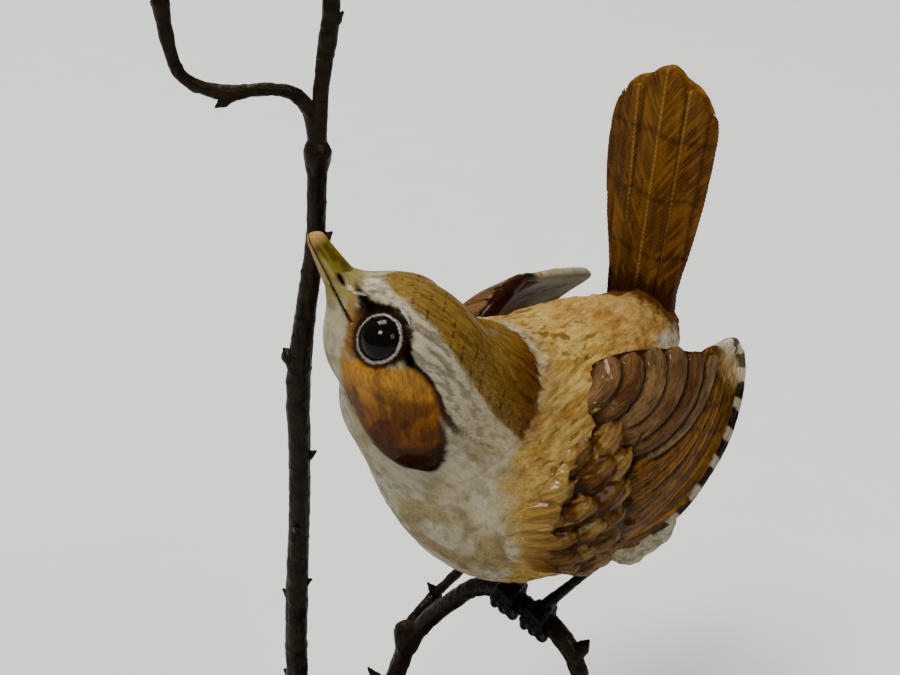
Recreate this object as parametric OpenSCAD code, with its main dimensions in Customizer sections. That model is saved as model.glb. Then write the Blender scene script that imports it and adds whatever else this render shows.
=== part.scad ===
// Porcelain wren on patinated bronze twigs, standing on a turned wooden plinth.
// Millimetres, +Z up. The origin is the centre of the felt's underside.

/* [Plinth] */
// Radius of the turned plinth at its foot
plinth_r = 50; // [47:1:56]
// Height of the wooden plinth
plinth_h = 19; // [18:1:22]
// Thickness of the felt glued underneath
felt_t = 1.2; // [0.8:0.2:2]
// Radius of the cast bronze ground
ground_r = 34; // [33:1:37]
// Height of the bronze ground at its middle
ground_h = 7; // [6:0.5:9]

/* [Fixings] */
// Radius of the circle that the plinth's screws lie on
screw_circle_r = 20; // [16:1:22]
// Shank radius of each screw
screw_r = 2; // [1.8:0.1:2.2]
// Number of screws
screw_count = 3; // [3:1:4]

/* [Bird] */
// Radius of the torso at its widest
torso_r = 23; // [22:0.5:24]
// Length of the torso ahead of its widest section
torso_front = 30; // [29:0.5:31]
// Length of the torso behind its widest section
torso_rear = 36; // [34:0.5:37]
// Thickness of the slip-cast wall
wall = 3; // [2.5:0.25:3.5]
// Radius of the head
head_r = 13.4; // [13:0.2:14]
// Radius of each glass eye
eye_r = 4; // [3.6:0.1:4.2]
// Length of the bill beyond the head
bill_len = 14; // [11:0.5:14]
// Length of the tail
tail_len = 50; // [46:0.5:53]
// Forward lean of the whole bird, in degrees
bird_tilt = 10; // [8:1:12]
// Direction the breast faces, in degrees from +X
bird_heading = -125.5; // [-128:0.5:-123]
// How far the head is turned to the bird's right, in degrees
head_turn = 65.7; // [60:0.1:70]
// How far the bill is lifted, in degrees
head_lift = 37.3; // [33:0.1:41]
// How far the crown leans, in degrees
head_roll = 10.4; // [6:0.1:14]

/* [Twigs] */
// Radius of the tall stem at its foot
stem_r = 2.4; // [2.2:0.1:2.6]
// Radius of the perch twig where the feet grip it
perch_r = 2; // [1.8:0.1:2.1]
// Radius of a toe
toe_r = 0.85; // [0.7:0.05:0.95]
// Radius of a leg
leg_r = 1.1; // [1:0.05:1.2]

/* [Hidden] */
$fn = 40;

bronze = [0.17, 0.12, 0.08];
porcelain = [0.90, 0.86, 0.76];
rust = [0.62, 0.38, 0.12];
umber = [0.42, 0.28, 0.18];
horn = [0.70, 0.60, 0.32];

gap = 0.05;
plinth_top = felt_t + plinth_h;
ground_top = plinth_top + ground_h;
screw_head_r = 3.6;
screw_head_h = 2.6;
washer_t = 0.8;
counterbore_depth = 7;
counterbore_r = 5;
screw_reach = 3.6;
socket_depth = 5;

bird_pos = [19, 0, 114];
head_pos = [23.8, -5.5, 30.1];
head_front = 18.5;
head_back = 18.5;
neck_r = 16;
breast_pos = [17, -8, 12];
breast_r = 15;
vent_r = 4;
eye_pos = [9.75, 7.35, 2.4];
bill_root = [12.1, 0, -1.1];
bill_pitch = 24;
bill_r = 4.6;
bill_tip_r = 0.9;
bill_buried = 3.5;
mouth_gap = 0.15;
half_space = 20;

wing_t = 2.2;
// Each wing is part of a barrel about the torso's axis: an arc turned about that axis.
// Arc radius, then the arc's centre along the axis and away from it.
left_barrel = [87.3, -16.5, -61.3];
right_barrel = [58.3, -7.7, -33.3];
wing_outline = [[20, 5], [18, -4], [15, -12], [8, -17], [0, -19.5], [-6, -15], [-14, -4.5],
    [-23, 0.5], [-31, 5.5], [-36, 9.5], [-36, 12.5], [-28, 14.5], [-22, 16.5], [-14, 20],
    [-8, 21.5], [-2, 21.5], [3, 19.5], [10, 15], [16, 10]];
right_wing_lift = 4;
rump_start = [-12, 0, 1];
rump_end = [-31.5, 1.5, 8];
rump_r = 7;

tail_root = [-34.5, 1.5, 11];
tail_lean = 4;
tail_t = 2.6;
tail_bow_r = 34;
tail_outline = [[-6, 0], [-7, 12], [-9.4, 22], [-10, 36], [-8, 43], [-4, 48], [0, 50],
    [4.5, 49], [9, 45], [10.8, 39], [10.4, 28], [8.2, 14], [6.2, 0]];
tail_outline_len = 50;

// The straight run of the perch that the feet grip, and how far each foot is from its middle.
perch_azimuth = -44;
perch_dip = 10;
perch_mid = [18.9, -1.4, 79];
foot_side = 3.9;

// Centre lines: x, y, z and radius.
main_path = [[-25, 10, plinth_top + 2, stem_r], [-26.5, 11, 34, stem_r], [-28, 12, 52, 2.3],
    [-27.2, 12, 73, 2.25], [-26, 12, 90, 2.1], [-25.2, 12, 106, 2.15], [-24.9, 12, 121, 2.3],
    [-22.6, 12, 137, 1.95], [-20.4, 12, 151, 1.75], [-19.6, 12, 166, 1.8]];
upper_path = [[-19.6, 12, 166, 1.8], [-18.9, 12, 174, 1.5], [-18, 12, 181, 1.45],
    [-16.3, 12, 191, 1.6], [-16, 12.5, 199, 1.3], [-14.5, 13.5, 208, 1.15], [-14, 14, 216, 0.5]];
side_path = [[-19.6, 12, 168, 1.6], [-20.1, 12, 172.4, 1.5], [-21.1, 11, 175.6, 1.3],
    [-23.2, 10, 177.9, 1.2], [-26.2, 9, 178.9, 1.1], [-30, 8, 179, 1.15], [-33.6, 7, 178.8, 1.35],
    [-37, 6, 179.6, 1.15], [-40, 5.5, 181, 1.1], [-42, 5, 183.4, 1.1], [-43, 5, 187, 1.2],
    [-43.6, 5, 191.6, 1.35], [-44, 5, 196, 1.6], [-45, 5.5, 203, 1.3], [-45.8, 6, 210, 0.5]];
perch_joint = [25.6, -8.2, 76.4];
perch_path = concat([[-15, 13, plinth_top + 2, 2.2], [-12, 15, 38, 2.1], [-7.7, 16, 49, 2],
    [-4, 14.6, 60, 2], [2.4, 11, 70, 1.85], [9, 7.2, 77.6, 1.8]],
    [for (a = [-6.6, -2.2, 2.2, 6.6]) concat(perch_point(a, 0), [perch_r])],
    [concat(perch_joint, [perch_r])]);
perch_tip_path = [concat(perch_joint, [perch_r]), [27.6, -10, 73.4, 1.8], [29, -11, 69.6, 1.55],
    [30.6, -12, 64.5, 1.4], [31.4, -12.4, 60, 0.5]];
back_path = [[-5.8, 15, 60.6, 1.2], [-2.4, 17, 65, 1.15], [2, 20, 68.4, 1.1],
    [7, 24, 71.6, 1], [14, 28, 77, 0.9], [18, 30, 83, 0.4]];

// Where the twigs join, each wider than the stems it covers.
stem_joint = [-19.6, 12, 166.5];
stem_joint_r = 2.6;
fork_joint = [-5.2, 15, 60.2];
fork_joint_r = 2.9;

stem_bud_list = [[[-25.2, 12, 124.5], [-26.9, 12, 127.6], 1.4],
    [[-25.2, 12, 104], [-22.4, 11.6, 106], 0.9],
    [[-27.2, 12, 71], [-29.6, 12, 73.5], 0.9],
    [[-27.2, 12, 74], [-24.6, 12, 76], 0.8],
    [[-20.6, 12, 149], [-17.8, 12, 151.2], 1.1],
    [[-26, 12, 88], [-26.4, 9.4, 90], 0.9],
    [[-28, 12, 50], [-30.4, 12.6, 53], 1],
    [[-16.6, 12, 188.6], [-14.6, 11.6, 191.2], 0.8]];
side_bud = [[-33.2, 7, 178.4], [-35.6, 6.2, 176.9], 0.9];
perch_bud_list = [[[-9.4, 15.6, 45], [-13, 15, 51.5], 1.2],
    [[-8.5, 15.8, 47], [-7.6, 18.6, 50.5], 1],
    [[1.4, 18.6, 67.8], [-0.3, 18.4, 70.6], 0.8],
    [[27.6, -10, 73.4], [30, -9, 76.2], 1.35]];

heel_l = [-10.5, 12.5, -28.5];
heel_r = [-10, -5, -28];
hip_l = [-9, 10, -11];
hip_r = [-8, -6, -11];
plug_top = -10;

// ---- helpers -----------------------------------------------------------

function unit(v) = v / norm(v);
function rot_x(a, p) = [p[0], p[1] * cos(a) - p[2] * sin(a), p[1] * sin(a) + p[2] * cos(a)];
function rot_z(a, p) = [p[0] * cos(a) - p[1] * sin(a), p[0] * sin(a) + p[1] * cos(a), p[2]];
function to_world(p) = bird_pos + rot_x(bird_tilt, rot_z(bird_heading, p));

module bird_frame()
    translate(bird_pos) rotate([bird_tilt, 0, 0]) rotate([0, 0, bird_heading]) children();

module head_frame()
    translate(head_pos) rotate([head_roll, -head_lift, -head_turn]) children();

// A Catmull-Rom curve through points of any dimension.
function spline_point(p, i, t) =
    let (n = len(p) - 1,
         a = i > 0 ? p[i - 1] : 2 * p[0] - p[1],
         b = p[i],
         c = p[i + 1],
         d = i + 2 <= n ? p[i + 2] : 2 * p[n] - p[n - 1])
    0.5 * (2 * b + (c - a) * t + (2 * a - 5 * b + 4 * c - d) * t * t
        + (3 * b - a - 3 * c + d) * t * t * t);
function spline(p, steps) =
    concat([for (i = [0:len(p) - 2]) for (k = [0:steps - 1]) spline_point(p, i, k / steps)],
        [p[len(p) - 1]]);
function xyz(p) = [p[0], p[1], p[2]];

// A tapered tube along a path, as one closed polyhedron. ref is never along the path.
module twig(path, steps = 3, sides = 10, ref = [0.35, 0.94, 0]) {
    c = spline(path, steps);
    n = len(c);
    ring = function(i)
        let (t = unit(xyz(c[min(i + 1, n - 1)]) - xyz(c[max(i - 1, 0)])),
             u = unit(cross(t, ref)),
             v = cross(t, u))
        [for (k = [0:sides - 1])
            xyz(c[i]) + c[i][3] * (u * cos(360 * k / sides) + v * sin(360 * k / sides))];
    points = [for (i = [0:n - 1]) for (q = ring(i)) q];
    skin = [for (i = [0:n - 2]) for (k = [0:sides - 1])
        let (m = (k + 1) % sides)
        each [[i * sides + k, (i + 1) * sides + m, i * sides + m],
              [i * sides + k, (i + 1) * sides + k, (i + 1) * sides + m]]];
    first = [for (k = [0:sides - 1]) k];
    last = [for (k = [sides - 1:-1:0]) (n - 1) * sides + k];
    polyhedron(points, concat(skin, [first, last]), convexity = 6);
}

// A round rod from p to q.
module rod(p, q, r1, r2) {
    d = q - p;
    translate(p)
        rotate([0, acos(d[2] / norm(d)), atan2(d[1], d[0])])
            cylinder(h = norm(d), r1 = r1, r2 = r2);
}

// A bud from b[0] to b[1], b[2] in radius: a short neck, then a blunt tip.
module bud(b) {
    d = b[1] - b[0];
    at = function(t, r) concat(b[0] + t * d, [r * b[2]]);
    twig([at(0, 1), at(0.5, 0.8), at(0.9, 1), at(1.2, 0.85), at(1.4, 0.3)], 2, 10, [0.1, 0.2, 0.95]);
}

// An egg turned about the X axis: blunt ahead of its widest section, longer behind it.
module egg(r, front, rear, offset = 0) {
    steps = 14;
    rr = r + offset;
    half = function(length, sign)
        [for (k = [1:steps]) [rr * cos(90 * k / steps), sign * (length + offset) * sin(90 * k / steps)]];
    ahead = half(front, 1);
    behind = half(rear, -1);
    rotate([0, 90, 0])
        rotate_extrude()
            polygon(concat([[rr, 0]],
                [for (p = ahead) [max(0, p[0]), p[1]]],
                [for (k = [steps - 1:-1:0]) [max(0, behind[k][0]), behind[k][1]]]));
}

// The torso's egg and, behind it, the rump that carries the tail.
module torso_solid() {
    egg(torso_r, torso_front, torso_rear);
    rod(rump_start, rump_end, torso_r - 5, rump_r);
    translate(rump_end) sphere(rump_r);
}

module torso_hollow(clearance = 0) egg(torso_r, torso_front, torso_rear, -wall - clearance);

// The neck and breast that rise from the torso to the head.
module neck_solid() {
    rod([0, 0, 0], head_pos, neck_r + 3, head_r - 1.5);
    translate(breast_pos) sphere(breast_r);
}

// ---- base --------------------------------------------------------------

module felt_pad()
    color("darkgreen")
        difference() {
            cylinder(h = felt_t, r = plinth_r - 2);
            for (i = [0:screw_count - 1])
                rotate(i * 360 / screw_count)
                    translate([screw_circle_r, 0, -1]) cylinder(h = felt_t + 2, r = counterbore_r);
        }

module screw_places()
    for (i = [0:screw_count - 1])
        rotate(i * 360 / screw_count) translate([screw_circle_r, 0, 0]) children();

module plinth()
    color([0.30, 0.13, 0.07])
        difference() {
            translate([0, 0, felt_t])
                rotate_extrude()
                    polygon(concat(
                        [[0, 0], [plinth_r - 1, 0], [plinth_r, 1]],
                        [[plinth_r, 5], [plinth_r - 0.6, 5.6], [plinth_r - 2, 5.8]],
                        [for (k = [0:6]) let (a = 15 * k)
                            [plinth_r - 2 - 7 * (1 - cos(a)), 6.4 + (plinth_h - 11) * sin(a)]],
                        [[plinth_r - 10.5, plinth_h - 4.2], [plinth_r - 9.6, plinth_h - 2.6]],
                        [[plinth_r - 10, plinth_h - 0.6], [plinth_r - 11, plinth_h], [0, plinth_h]]));
            screw_places() {
                translate([0, 0, felt_t - 1]) cylinder(h = counterbore_depth + 1, r = counterbore_r);
                cylinder(h = plinth_top + 1, r = screw_r + 0.3);
            }
        }

module screw_washers()
    color("silver")
        screw_places()
            translate([0, 0, felt_t + counterbore_depth - washer_t])
                difference() {
                    cylinder(h = washer_t, r = counterbore_r - 0.5);
                    translate([0, 0, -1]) cylinder(h = washer_t + 2, r = screw_r + gap);
                }

module fixing_screws()
    color("silver")
        screw_places()
            translate([0, 0, felt_t + counterbore_depth - washer_t - screw_head_h])
                difference() {
                    union() {
                        cylinder(h = screw_head_h, r = screw_head_r);
                        cylinder(h = plinth_top + screw_reach - felt_t - counterbore_depth
                            + washer_t + screw_head_h, r = screw_r);
                    }
                    translate([0, 0, -1]) cylinder(h = 2.4, r = 1.6, $fn = 6);
                }

module stem_sockets() {
    for (p = [main_path[0], perch_path[0]])
        translate([p[0], p[1], plinth_top + 2 - gap])
            cylinder(h = socket_depth + ground_h, r = p[3] + gap);
}

module bronze_ground()
    color(bronze)
        difference() {
            translate([0, 0, plinth_top])
                rotate_extrude()
                    polygon(concat([[0, 0], [ground_r, 0], [ground_r, 1]],
                        [for (k = [1:8]) let (a = 11.25 * k)
                            [ground_r * cos(a), 1 + (ground_h - 1) * sin(a)]]));
            stem_sockets();
            screw_places()
                translate([0, 0, plinth_top - 1]) cylinder(h = screw_reach + 1.4, r = screw_r + gap);
        }

// ---- twigs -------------------------------------------------------------

module main_stem()
    color(bronze)
        difference() {
            twig(main_path);
            translate(stem_joint) sphere(stem_joint_r);
        }

module upper_stem()
    color(bronze) {
        difference() {
            twig(upper_path);
            translate(stem_joint) sphere(stem_joint_r - 0.4);
        }
        translate(stem_joint) sphere(stem_joint_r - gap);
    }

module side_branch()
    color(bronze)
        difference() {
            twig(side_path, 2);
            twig(upper_path);
            translate(stem_joint) sphere(stem_joint_r);
        }

module stem_buds()
    color(bronze)
        difference() {
            union() {
                for (b = stem_bud_list) bud(b);
                bud(side_bud);
            }
            twig(main_path);
            twig(upper_path);
            twig(side_path, 2);
        }

module perch_branch()
    color(bronze)
        difference() {
            twig(perch_path);
            translate(perch_joint) sphere(perch_r + 0.4);
        }

module perch_tip()
    color(bronze) {
        difference() {
            twig(perch_tip_path);
            translate(perch_joint) sphere(perch_r);
        }
        translate(perch_joint) sphere(perch_r + 0.4 - gap);
    }

module back_twig()
    color(bronze)
        difference() {
            twig(back_path);
            translate(fork_joint) sphere(fork_joint_r);
        }

module perch_buds()
    color(bronze)
        difference() {
            union() {
                for (b = perch_bud_list) bud(b);
                translate(fork_joint) sphere(fork_joint_r - gap);
            }
            twig(perch_path);
            twig(perch_tip_path);
        }

// ---- porcelain ---------------------------------------------------------

module leg_pins(extra = 0) {
    rod(to_world(heel_l), to_world(hip_l), leg_r + extra, leg_r + extra);
    rod(to_world(heel_r), to_world(hip_r), leg_r + extra, leg_r + extra);
}

// The vent that joins the two hollows when the castings are luted together.
module neck_vent() rod([0, 0, 0], head_pos, vent_r, vent_r);

module torso_shell()
    color(porcelain)
        difference() {
            bird_frame()
                difference() {
                    union() {
                        torso_solid();
                        neck_solid();
                    }
                    torso_hollow();
                    neck_vent();
                    head_frame() head_egg();
                }
            leg_pins(gap);
        }

module anchor_plug()
    color("gainsboro")
        difference() {
            bird_frame()
                intersection() {
                    torso_hollow(gap);
                    translate([-20, -20, -30]) cube([40, 40, 30 + plug_top]);
                }
            leg_pins(gap);
        }

module head_egg(offset = 0) egg(head_r, head_front, head_back, offset);

module eyes(extra = 0)
    for (side = [-1, 1])
        translate([eye_pos[0], side * eye_pos[1], eye_pos[2]]) sphere(eye_r + extra);

module head_shell()
    color(porcelain)
        bird_frame()
            difference() {
                head_frame() head_egg();
                head_frame() head_egg(-wall);
                head_frame() eyes(gap);
                neck_vent();
            }

module left_eye()
    color([0.02, 0.02, 0.02])
        bird_frame() head_frame()
            translate(eye_pos) sphere(eye_r);

module right_eye()
    color([0.02, 0.02, 0.02])
        bird_frame() head_frame()
            translate([eye_pos[0], -eye_pos[1], eye_pos[2]]) sphere(eye_r);

// One half of the bill: side is 1 above the mouth line and -1 below it.
module bill_half(side)
    difference() {
        bird_frame() head_frame()
            translate(bill_root)
                rotate([0, 90 - bill_pitch, 0])
                    intersection() {
                        union() {
                            cylinder(h = bill_len + bill_buried, r1 = bill_r, r2 = bill_tip_r);
                            translate([0, 0, bill_len + bill_buried]) sphere(bill_tip_r);
                        }
                        translate([side > 0 ? -half_space : mouth_gap, -half_space / 2, -1])
                            cube([half_space, half_space, bill_len + 8]);
                    }
        bird_frame() head_frame() head_egg();
    }

module upper_bill() color(horn) bill_half(1);
module lower_bill() color(horn) bill_half(-1);

function barrel_r(b, x) = b[2] + sqrt(b[0] * b[0] - pow(x - b[1], 2));

module barrel(b, offset) {
    x0 = -40;
    x1 = 24;
    steps = 8;
    rotate([0, 90, 0])
        rotate_extrude()
            polygon(concat([[0, x0]],
                [for (k = [0:steps]) let (x = x0 + (x1 - x0) * k / steps) [barrel_r(b, x) + offset, x]],
                [[0, x1]]));
}

module wing_blank(b, lift)
    intersection() {
        difference() {
            barrel(b, 0.5);
            barrel(b, 0.5 - wing_t);
        }
        translate([0, 40, 0]) rotate([90, lift, 0]) linear_extrude(36) polygon(wing_outline);
    }

module left_wing()
    color(umber)
        bird_frame()
            difference() {
                wing_blank(left_barrel, 0);
                torso_solid();
                neck_solid();
            }

module right_wing()
    color(umber)
        bird_frame()
            difference() {
                mirror([0, 1, 0]) wing_blank(right_barrel, right_wing_lift);
                torso_solid();
                neck_solid();
            }

module tail()
    color(rust)
        difference() {
            bird_frame()
                translate(tail_root)
                    rotate([0, -tail_lean, 0])
                        intersection() {
                            rotate([90, 0, 90])
                                linear_extrude(40, center = true)
                                    polygon([for (p = tail_outline)
                                        [p[0], p[1] * tail_len / tail_outline_len]]);
                            translate([-tail_bow_r, 0, -1])
                                difference() {
                                    cylinder(h = tail_len + 4, r = tail_bow_r + tail_t / 2, $fn = 120);
                                    translate([0, 0, -1])
                                        cylinder(h = tail_len + 8, r = tail_bow_r - tail_t / 2, $fn = 120);
                                }
                        }
            bird_frame() torso_solid();
        }

// ---- legs and feet -----------------------------------------------------

// The perch's own frame at the feet: +Z along the twig, +X down, -Y ahead of the bird.
module perch_frame(along)
    translate(perch_mid)
        rotate([0, 90 + perch_dip, perch_azimuth])
            translate([0, 0, along]) children();

function perch_point(along, lift) =
    let (z = rot_z(perch_azimuth, [cos(perch_dip), 0, -sin(perch_dip)]),
         x = rot_z(perch_azimuth, [-sin(perch_dip), 0, -cos(perch_dip)]))
    perch_mid + along * z - lift * x;

toe_ring = perch_r + toe_r + 0.12;
toe_pitch = 2.1;
knuckle_r = 1.5;
front_sweep = 140;
hind_sweep = 100;
claw_len = 2.6;
toe_stagger = 8;

module toe(sweep, dir) {
    start = dir > 0 ? 180 : 180 - sweep;
    rotate_extrude(start = start, angle = sweep) translate([toe_ring, 0]) circle(toe_r);
    for (a = [40, 85, 130])
        if (a < sweep)
            rotate(180 + dir * a) translate([toe_ring, 0, 0]) sphere(toe_r * 1.18);
}

module claw(sweep, dir)
    rotate(180 + dir * sweep)
        translate([toe_ring, 0, 0])
            rotate([-90 * dir, 0, 0])
                cylinder(h = claw_len, r1 = toe_r * 0.85, r2 = 0.12);

module front_toes(along)
    color(bronze)
        difference() {
            perch_frame(along)
                for (i = [-1:1]) translate([0, 0, i * toe_pitch]) toe(front_sweep + toe_stagger * i, 1);
            translate(perch_point(along, toe_ring)) sphere(knuckle_r);
        }

module hind_toe(along)
    color(bronze)
        difference() {
            perch_frame(along) toe(hind_sweep, -1);
            translate(perch_point(along, toe_ring)) sphere(knuckle_r);
        }

module claws(along)
    color([0.1, 0.08, 0.06])
        perch_frame(along) {
            for (i = [-1:1]) translate([0, 0, i * toe_pitch]) claw(front_sweep + toe_stagger * i, 1);
            claw(hind_sweep, -1);
        }

module leg(along, heel, hip) {
    hub = perch_point(along, toe_ring);
    color(bronze) {
        difference() {
            union() {
                translate(hub) sphere(knuckle_r - gap);
                rod(hub, to_world(heel), leg_r * 0.9, leg_r);
            }
            perch_frame(along)
                translate([0, 0, -10]) cylinder(h = 20, r = perch_r + 0.1);
        }
        translate(to_world(heel)) sphere(leg_r * 1.25);
        rod(to_world(heel), to_world(hip), leg_r, leg_r);
    }
}

module left_leg() leg(foot_side, heel_l, hip_l);
module right_leg() leg(-foot_side, heel_r, hip_r);
module left_front_toes() front_toes(foot_side);
module left_hind_toe() hind_toe(foot_side);
module right_front_toes() front_toes(-foot_side);
module right_hind_toe() hind_toe(-foot_side);
module left_claws() claws(foot_side);
module right_claws() claws(-foot_side);

// ---- nodes -------------------------------------------------------------

plinth();
felt_pad();
fixing_screws();
screw_washers();
bronze_ground();
main_stem();
upper_stem();
side_branch();
stem_buds();
perch_branch();
perch_tip();
back_twig();
perch_buds();
torso_shell();
anchor_plug();
head_shell();
upper_bill();
lower_bill();
left_eye();
right_eye();
left_wing();
right_wing();
tail();
left_leg();
right_leg();
left_front_toes();
left_hind_toe();
right_front_toes();
right_hind_toe();
left_claws();
right_claws();
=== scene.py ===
# Porcelain wren on bronze twigs: the visual model, in metres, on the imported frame.
import math
import bpy
import numpy as np
import openvdb as vdb
from mathutils import Matrix, Vector


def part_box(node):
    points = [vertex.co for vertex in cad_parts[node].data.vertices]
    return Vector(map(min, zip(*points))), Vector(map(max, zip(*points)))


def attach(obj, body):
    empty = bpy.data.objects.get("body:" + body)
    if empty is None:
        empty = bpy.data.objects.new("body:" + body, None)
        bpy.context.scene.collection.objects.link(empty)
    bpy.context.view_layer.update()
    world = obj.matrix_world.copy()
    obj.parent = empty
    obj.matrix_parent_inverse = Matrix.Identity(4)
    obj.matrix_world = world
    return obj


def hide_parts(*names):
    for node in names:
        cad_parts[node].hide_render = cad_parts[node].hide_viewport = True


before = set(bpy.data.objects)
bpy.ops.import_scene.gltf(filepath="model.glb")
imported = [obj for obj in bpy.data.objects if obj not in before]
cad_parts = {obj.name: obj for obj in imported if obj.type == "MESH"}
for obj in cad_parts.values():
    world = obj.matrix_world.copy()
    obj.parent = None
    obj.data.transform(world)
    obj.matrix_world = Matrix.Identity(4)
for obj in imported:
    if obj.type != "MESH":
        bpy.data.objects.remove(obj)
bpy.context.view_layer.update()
MM = 0.001
scene = bpy.context.scene

# ---------------------------------------------------------------- frames (millimetres)


def node_box(node):
    """A CAD node's lowest and highest corners, in millimetres."""
    return [[round(c / MM, 3) for c in corner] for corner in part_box(node)]


FELT_TOP = node_box("felt_pad")[1][2]
PLINTH_TOP = node_box("plinth")[1][2]
GROUND_TOP = node_box("bronze_ground")[1][2]


def rot(axis, degrees):
    return np.array(Matrix.Rotation(math.radians(degrees), 3, axis))


# the bird's own frame, x ahead and y to its left, and its head's frame in that one, as in the CAD
BIRD_AT = np.array([19.0, 0.0, 114.0])
BIRD = rot("X", 10) @ rot("Z", -125.5)
HEAD_AT = np.array([23.8, -5.5, 30.1])
HEAD = rot("Z", -65.7) @ rot("Y", -37.3) @ rot("X", 10.4)


def to_world(p):
    return BIRD_AT + np.asarray(p, float) @ BIRD.T


def to_head(p):
    return (np.asarray(p, float) - HEAD_AT) @ HEAD


def from_head(q):
    return HEAD_AT + np.asarray(q, float) @ HEAD.T


# ---------------------------------------------------------------- small maths


def arr(*v):
    return np.array(v, float)


def vec(*parts):
    """Points from their coordinates, which are arrays or plain numbers."""
    return np.stack(np.broadcast_arrays(*parts), -1)


def length(v):
    return np.sqrt((v * v).sum(-1))


def unit(v):
    return v / np.maximum(length(v), 1e-9)[..., None]


def clamp(x, a=0.0, b=1.0):
    return np.minimum(np.maximum(x, a), b)


def step(a, b, x):
    """A smooth rise from 0 at a to 1 at b, where a may be the larger."""
    t = clamp((x - a) / (b - a))
    return t * t * (3 - 2 * t)


def mix(a, b, t):
    """From a to b by t, for numbers, arrays and colours alike."""
    t = np.asarray(t)
    if np.ndim(a) and np.ndim(t) and np.shape(a)[-1:] == (3,) and np.shape(t) != np.shape(a):
        t = t[..., None]
    return a + (b - a) * t


def smin(a, b, k):
    """The smaller of two distances, blended over k."""
    h = np.maximum(k - np.abs(a - b), 0.0) / k
    return np.minimum(a, b) - h * h * k * 0.25


def hash3(i, seed):
    """A fixed random number from 0 to 1 for each integer point."""
    h = (i[..., 0] * 73856093) ^ (i[..., 1] * 19349663) ^ (i[..., 2] * 83492791) ^ (seed * 2654435761)
    h = h & 0xFFFFFFFF
    h = ((h ^ (h >> 15)) * 2246822519) & 0xFFFFFFFF
    h = ((h ^ (h >> 13)) * 3266489917) & 0xFFFFFFFF
    return ((h ^ (h >> 16)) & 0xFFFFFF) / float(0xFFFFFF)


def noise(p, seed=1):
    """Smooth value noise from 0 to 1 at points (N, 3)."""
    p = np.asarray(p, float)
    i = np.floor(p).astype(np.int64)
    f = p - i
    f = f * f * (3 - 2 * f)
    out = 0.0
    for dx in (0, 1):
        wx = f[..., 0] if dx else 1 - f[..., 0]
        for dy in (0, 1):
            wy = f[..., 1] if dy else 1 - f[..., 1]
            for dz in (0, 1):
                wz = f[..., 2] if dz else 1 - f[..., 2]
                out = out + wx * wy * wz * hash3(i + np.array([dx, dy, dz]), seed)
    return out


def fbm(p, octaves=3, seed=1):
    """Noise summed over octaves, each finer and fainter than the last."""
    total, amp, norm = 0.0, 1.0, 0.0
    for k in range(octaves):
        total = total + amp * noise(np.asarray(p) * 2.0 ** k + 17.3 * k, seed + k)
        norm += amp
        amp *= 0.5
    return total / norm


def blot(p, octaves, seed, lo, hi):
    """Soft-edged random patches: 0 where the noise is below lo, 1 where it is above hi."""
    return step(lo, hi, fbm(p, octaves, seed))


# ---------------------------------------------------------------- distance fields (bird frame)


def ellipsoid(p, r):
    q = p / r
    k0 = length(q)
    k1 = length(q / r)
    return k0 * (k0 - 1.0) / np.maximum(k1, 1e-6)


def round_cone(p, a, b, ra, rb):
    ba = b - a
    l2 = float(ba @ ba)
    rr = ra - rb
    a2 = l2 - rr * rr
    il2 = 1.0 / l2
    pa = p - a
    y = pa @ ba
    z = y - l2
    xx = pa * l2 - y[..., None] * ba
    x2 = (xx * xx).sum(-1)
    y2 = y * y * l2
    z2 = z * z * l2
    k = np.sign(rr) * rr * rr * x2
    c1 = np.sign(z) * a2 * z2 > k
    c2 = np.sign(y) * a2 * y2 < k
    d = (np.sqrt(x2 * a2 * il2) + y * rr) * il2 - ra
    d = np.where(c2, np.sqrt(x2 + y2) * il2 - ra, d)
    return np.where(c1, np.sqrt(x2 + z2) * il2 - rb, d)


def egg_radii(x, front, rear, r, r2=None):
    out = np.empty(x.shape + (3,))
    out[..., 0] = np.where(x > 0, front, rear)
    out[..., 1] = r
    out[..., 2] = r2 or r
    return out


# in the head's frame: the left eye's centre, radius and direction, and its lid's height and radius
EYE = arr(10.0, 7.35, 2.2)
EYE_R = 4.0
EYE_N = unit(arr(0.6, 0.76, 0.22))
EYE_RING_AT = 1.92
EYE_RING_R = 3.62
LID_R = 0.26
BILL_BASE = arr(19.2, 0.0, 2.1)
BILL_PITCH = 24.0


def bill_point(along, across=0.0, up=0.0):
    """A place in the head's frame, from the bill's own axes."""
    a = math.radians(BILL_PITCH)
    fwd, top = arr(math.cos(a), 0, math.sin(a)), arr(-math.sin(a), 0, math.cos(a))
    return BILL_BASE + fwd * along + arr(0, 1, 0) * across + top * up


def mirror_y(q):
    """Points moved to the left side."""
    return vec(q[..., 0], np.abs(q[..., 1]), q[..., 2])


def eye_place(q):
    """Height over the plane of an eye's lid and distance from its axis, for either eye."""
    w = mirror_y(q) - EYE
    along = w @ EYE_N
    return along - EYE_RING_AT, np.sqrt(np.maximum((w * w).sum(-1) - along ** 2, 0))


def eye_ring(q):
    """Distance from the circle where an eye meets its lid."""
    height, wide = eye_place(q)
    return np.hypot(height, wide - EYE_RING_R)


def head_field(q):
    """The head: an egg, drawn out to the bill by a forehead, a chin and a core."""
    x = q[..., 0] - 4
    d = ellipsoid(q - arr(4, 0, 0), egg_radii(x, 15.5, 14.0, 11.8, 11.4))
    forehead = round_cone(q, arr(11, 0, 0.9), bill_point(-1.0), 7.3, 2.7)
    chin = round_cone(q, arr(-2, 0, -4), arr(9, 0, -2.6), 9.5, 7.0)
    bill_core = round_cone(q, bill_point(-2, 0, 0.5), bill_point(3.6, 0, 0.05), 2.35, 1.7)
    return smin(smin(smin(d, forehead, 2.0), chin, 4.0), bill_core, 4.0)


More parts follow.
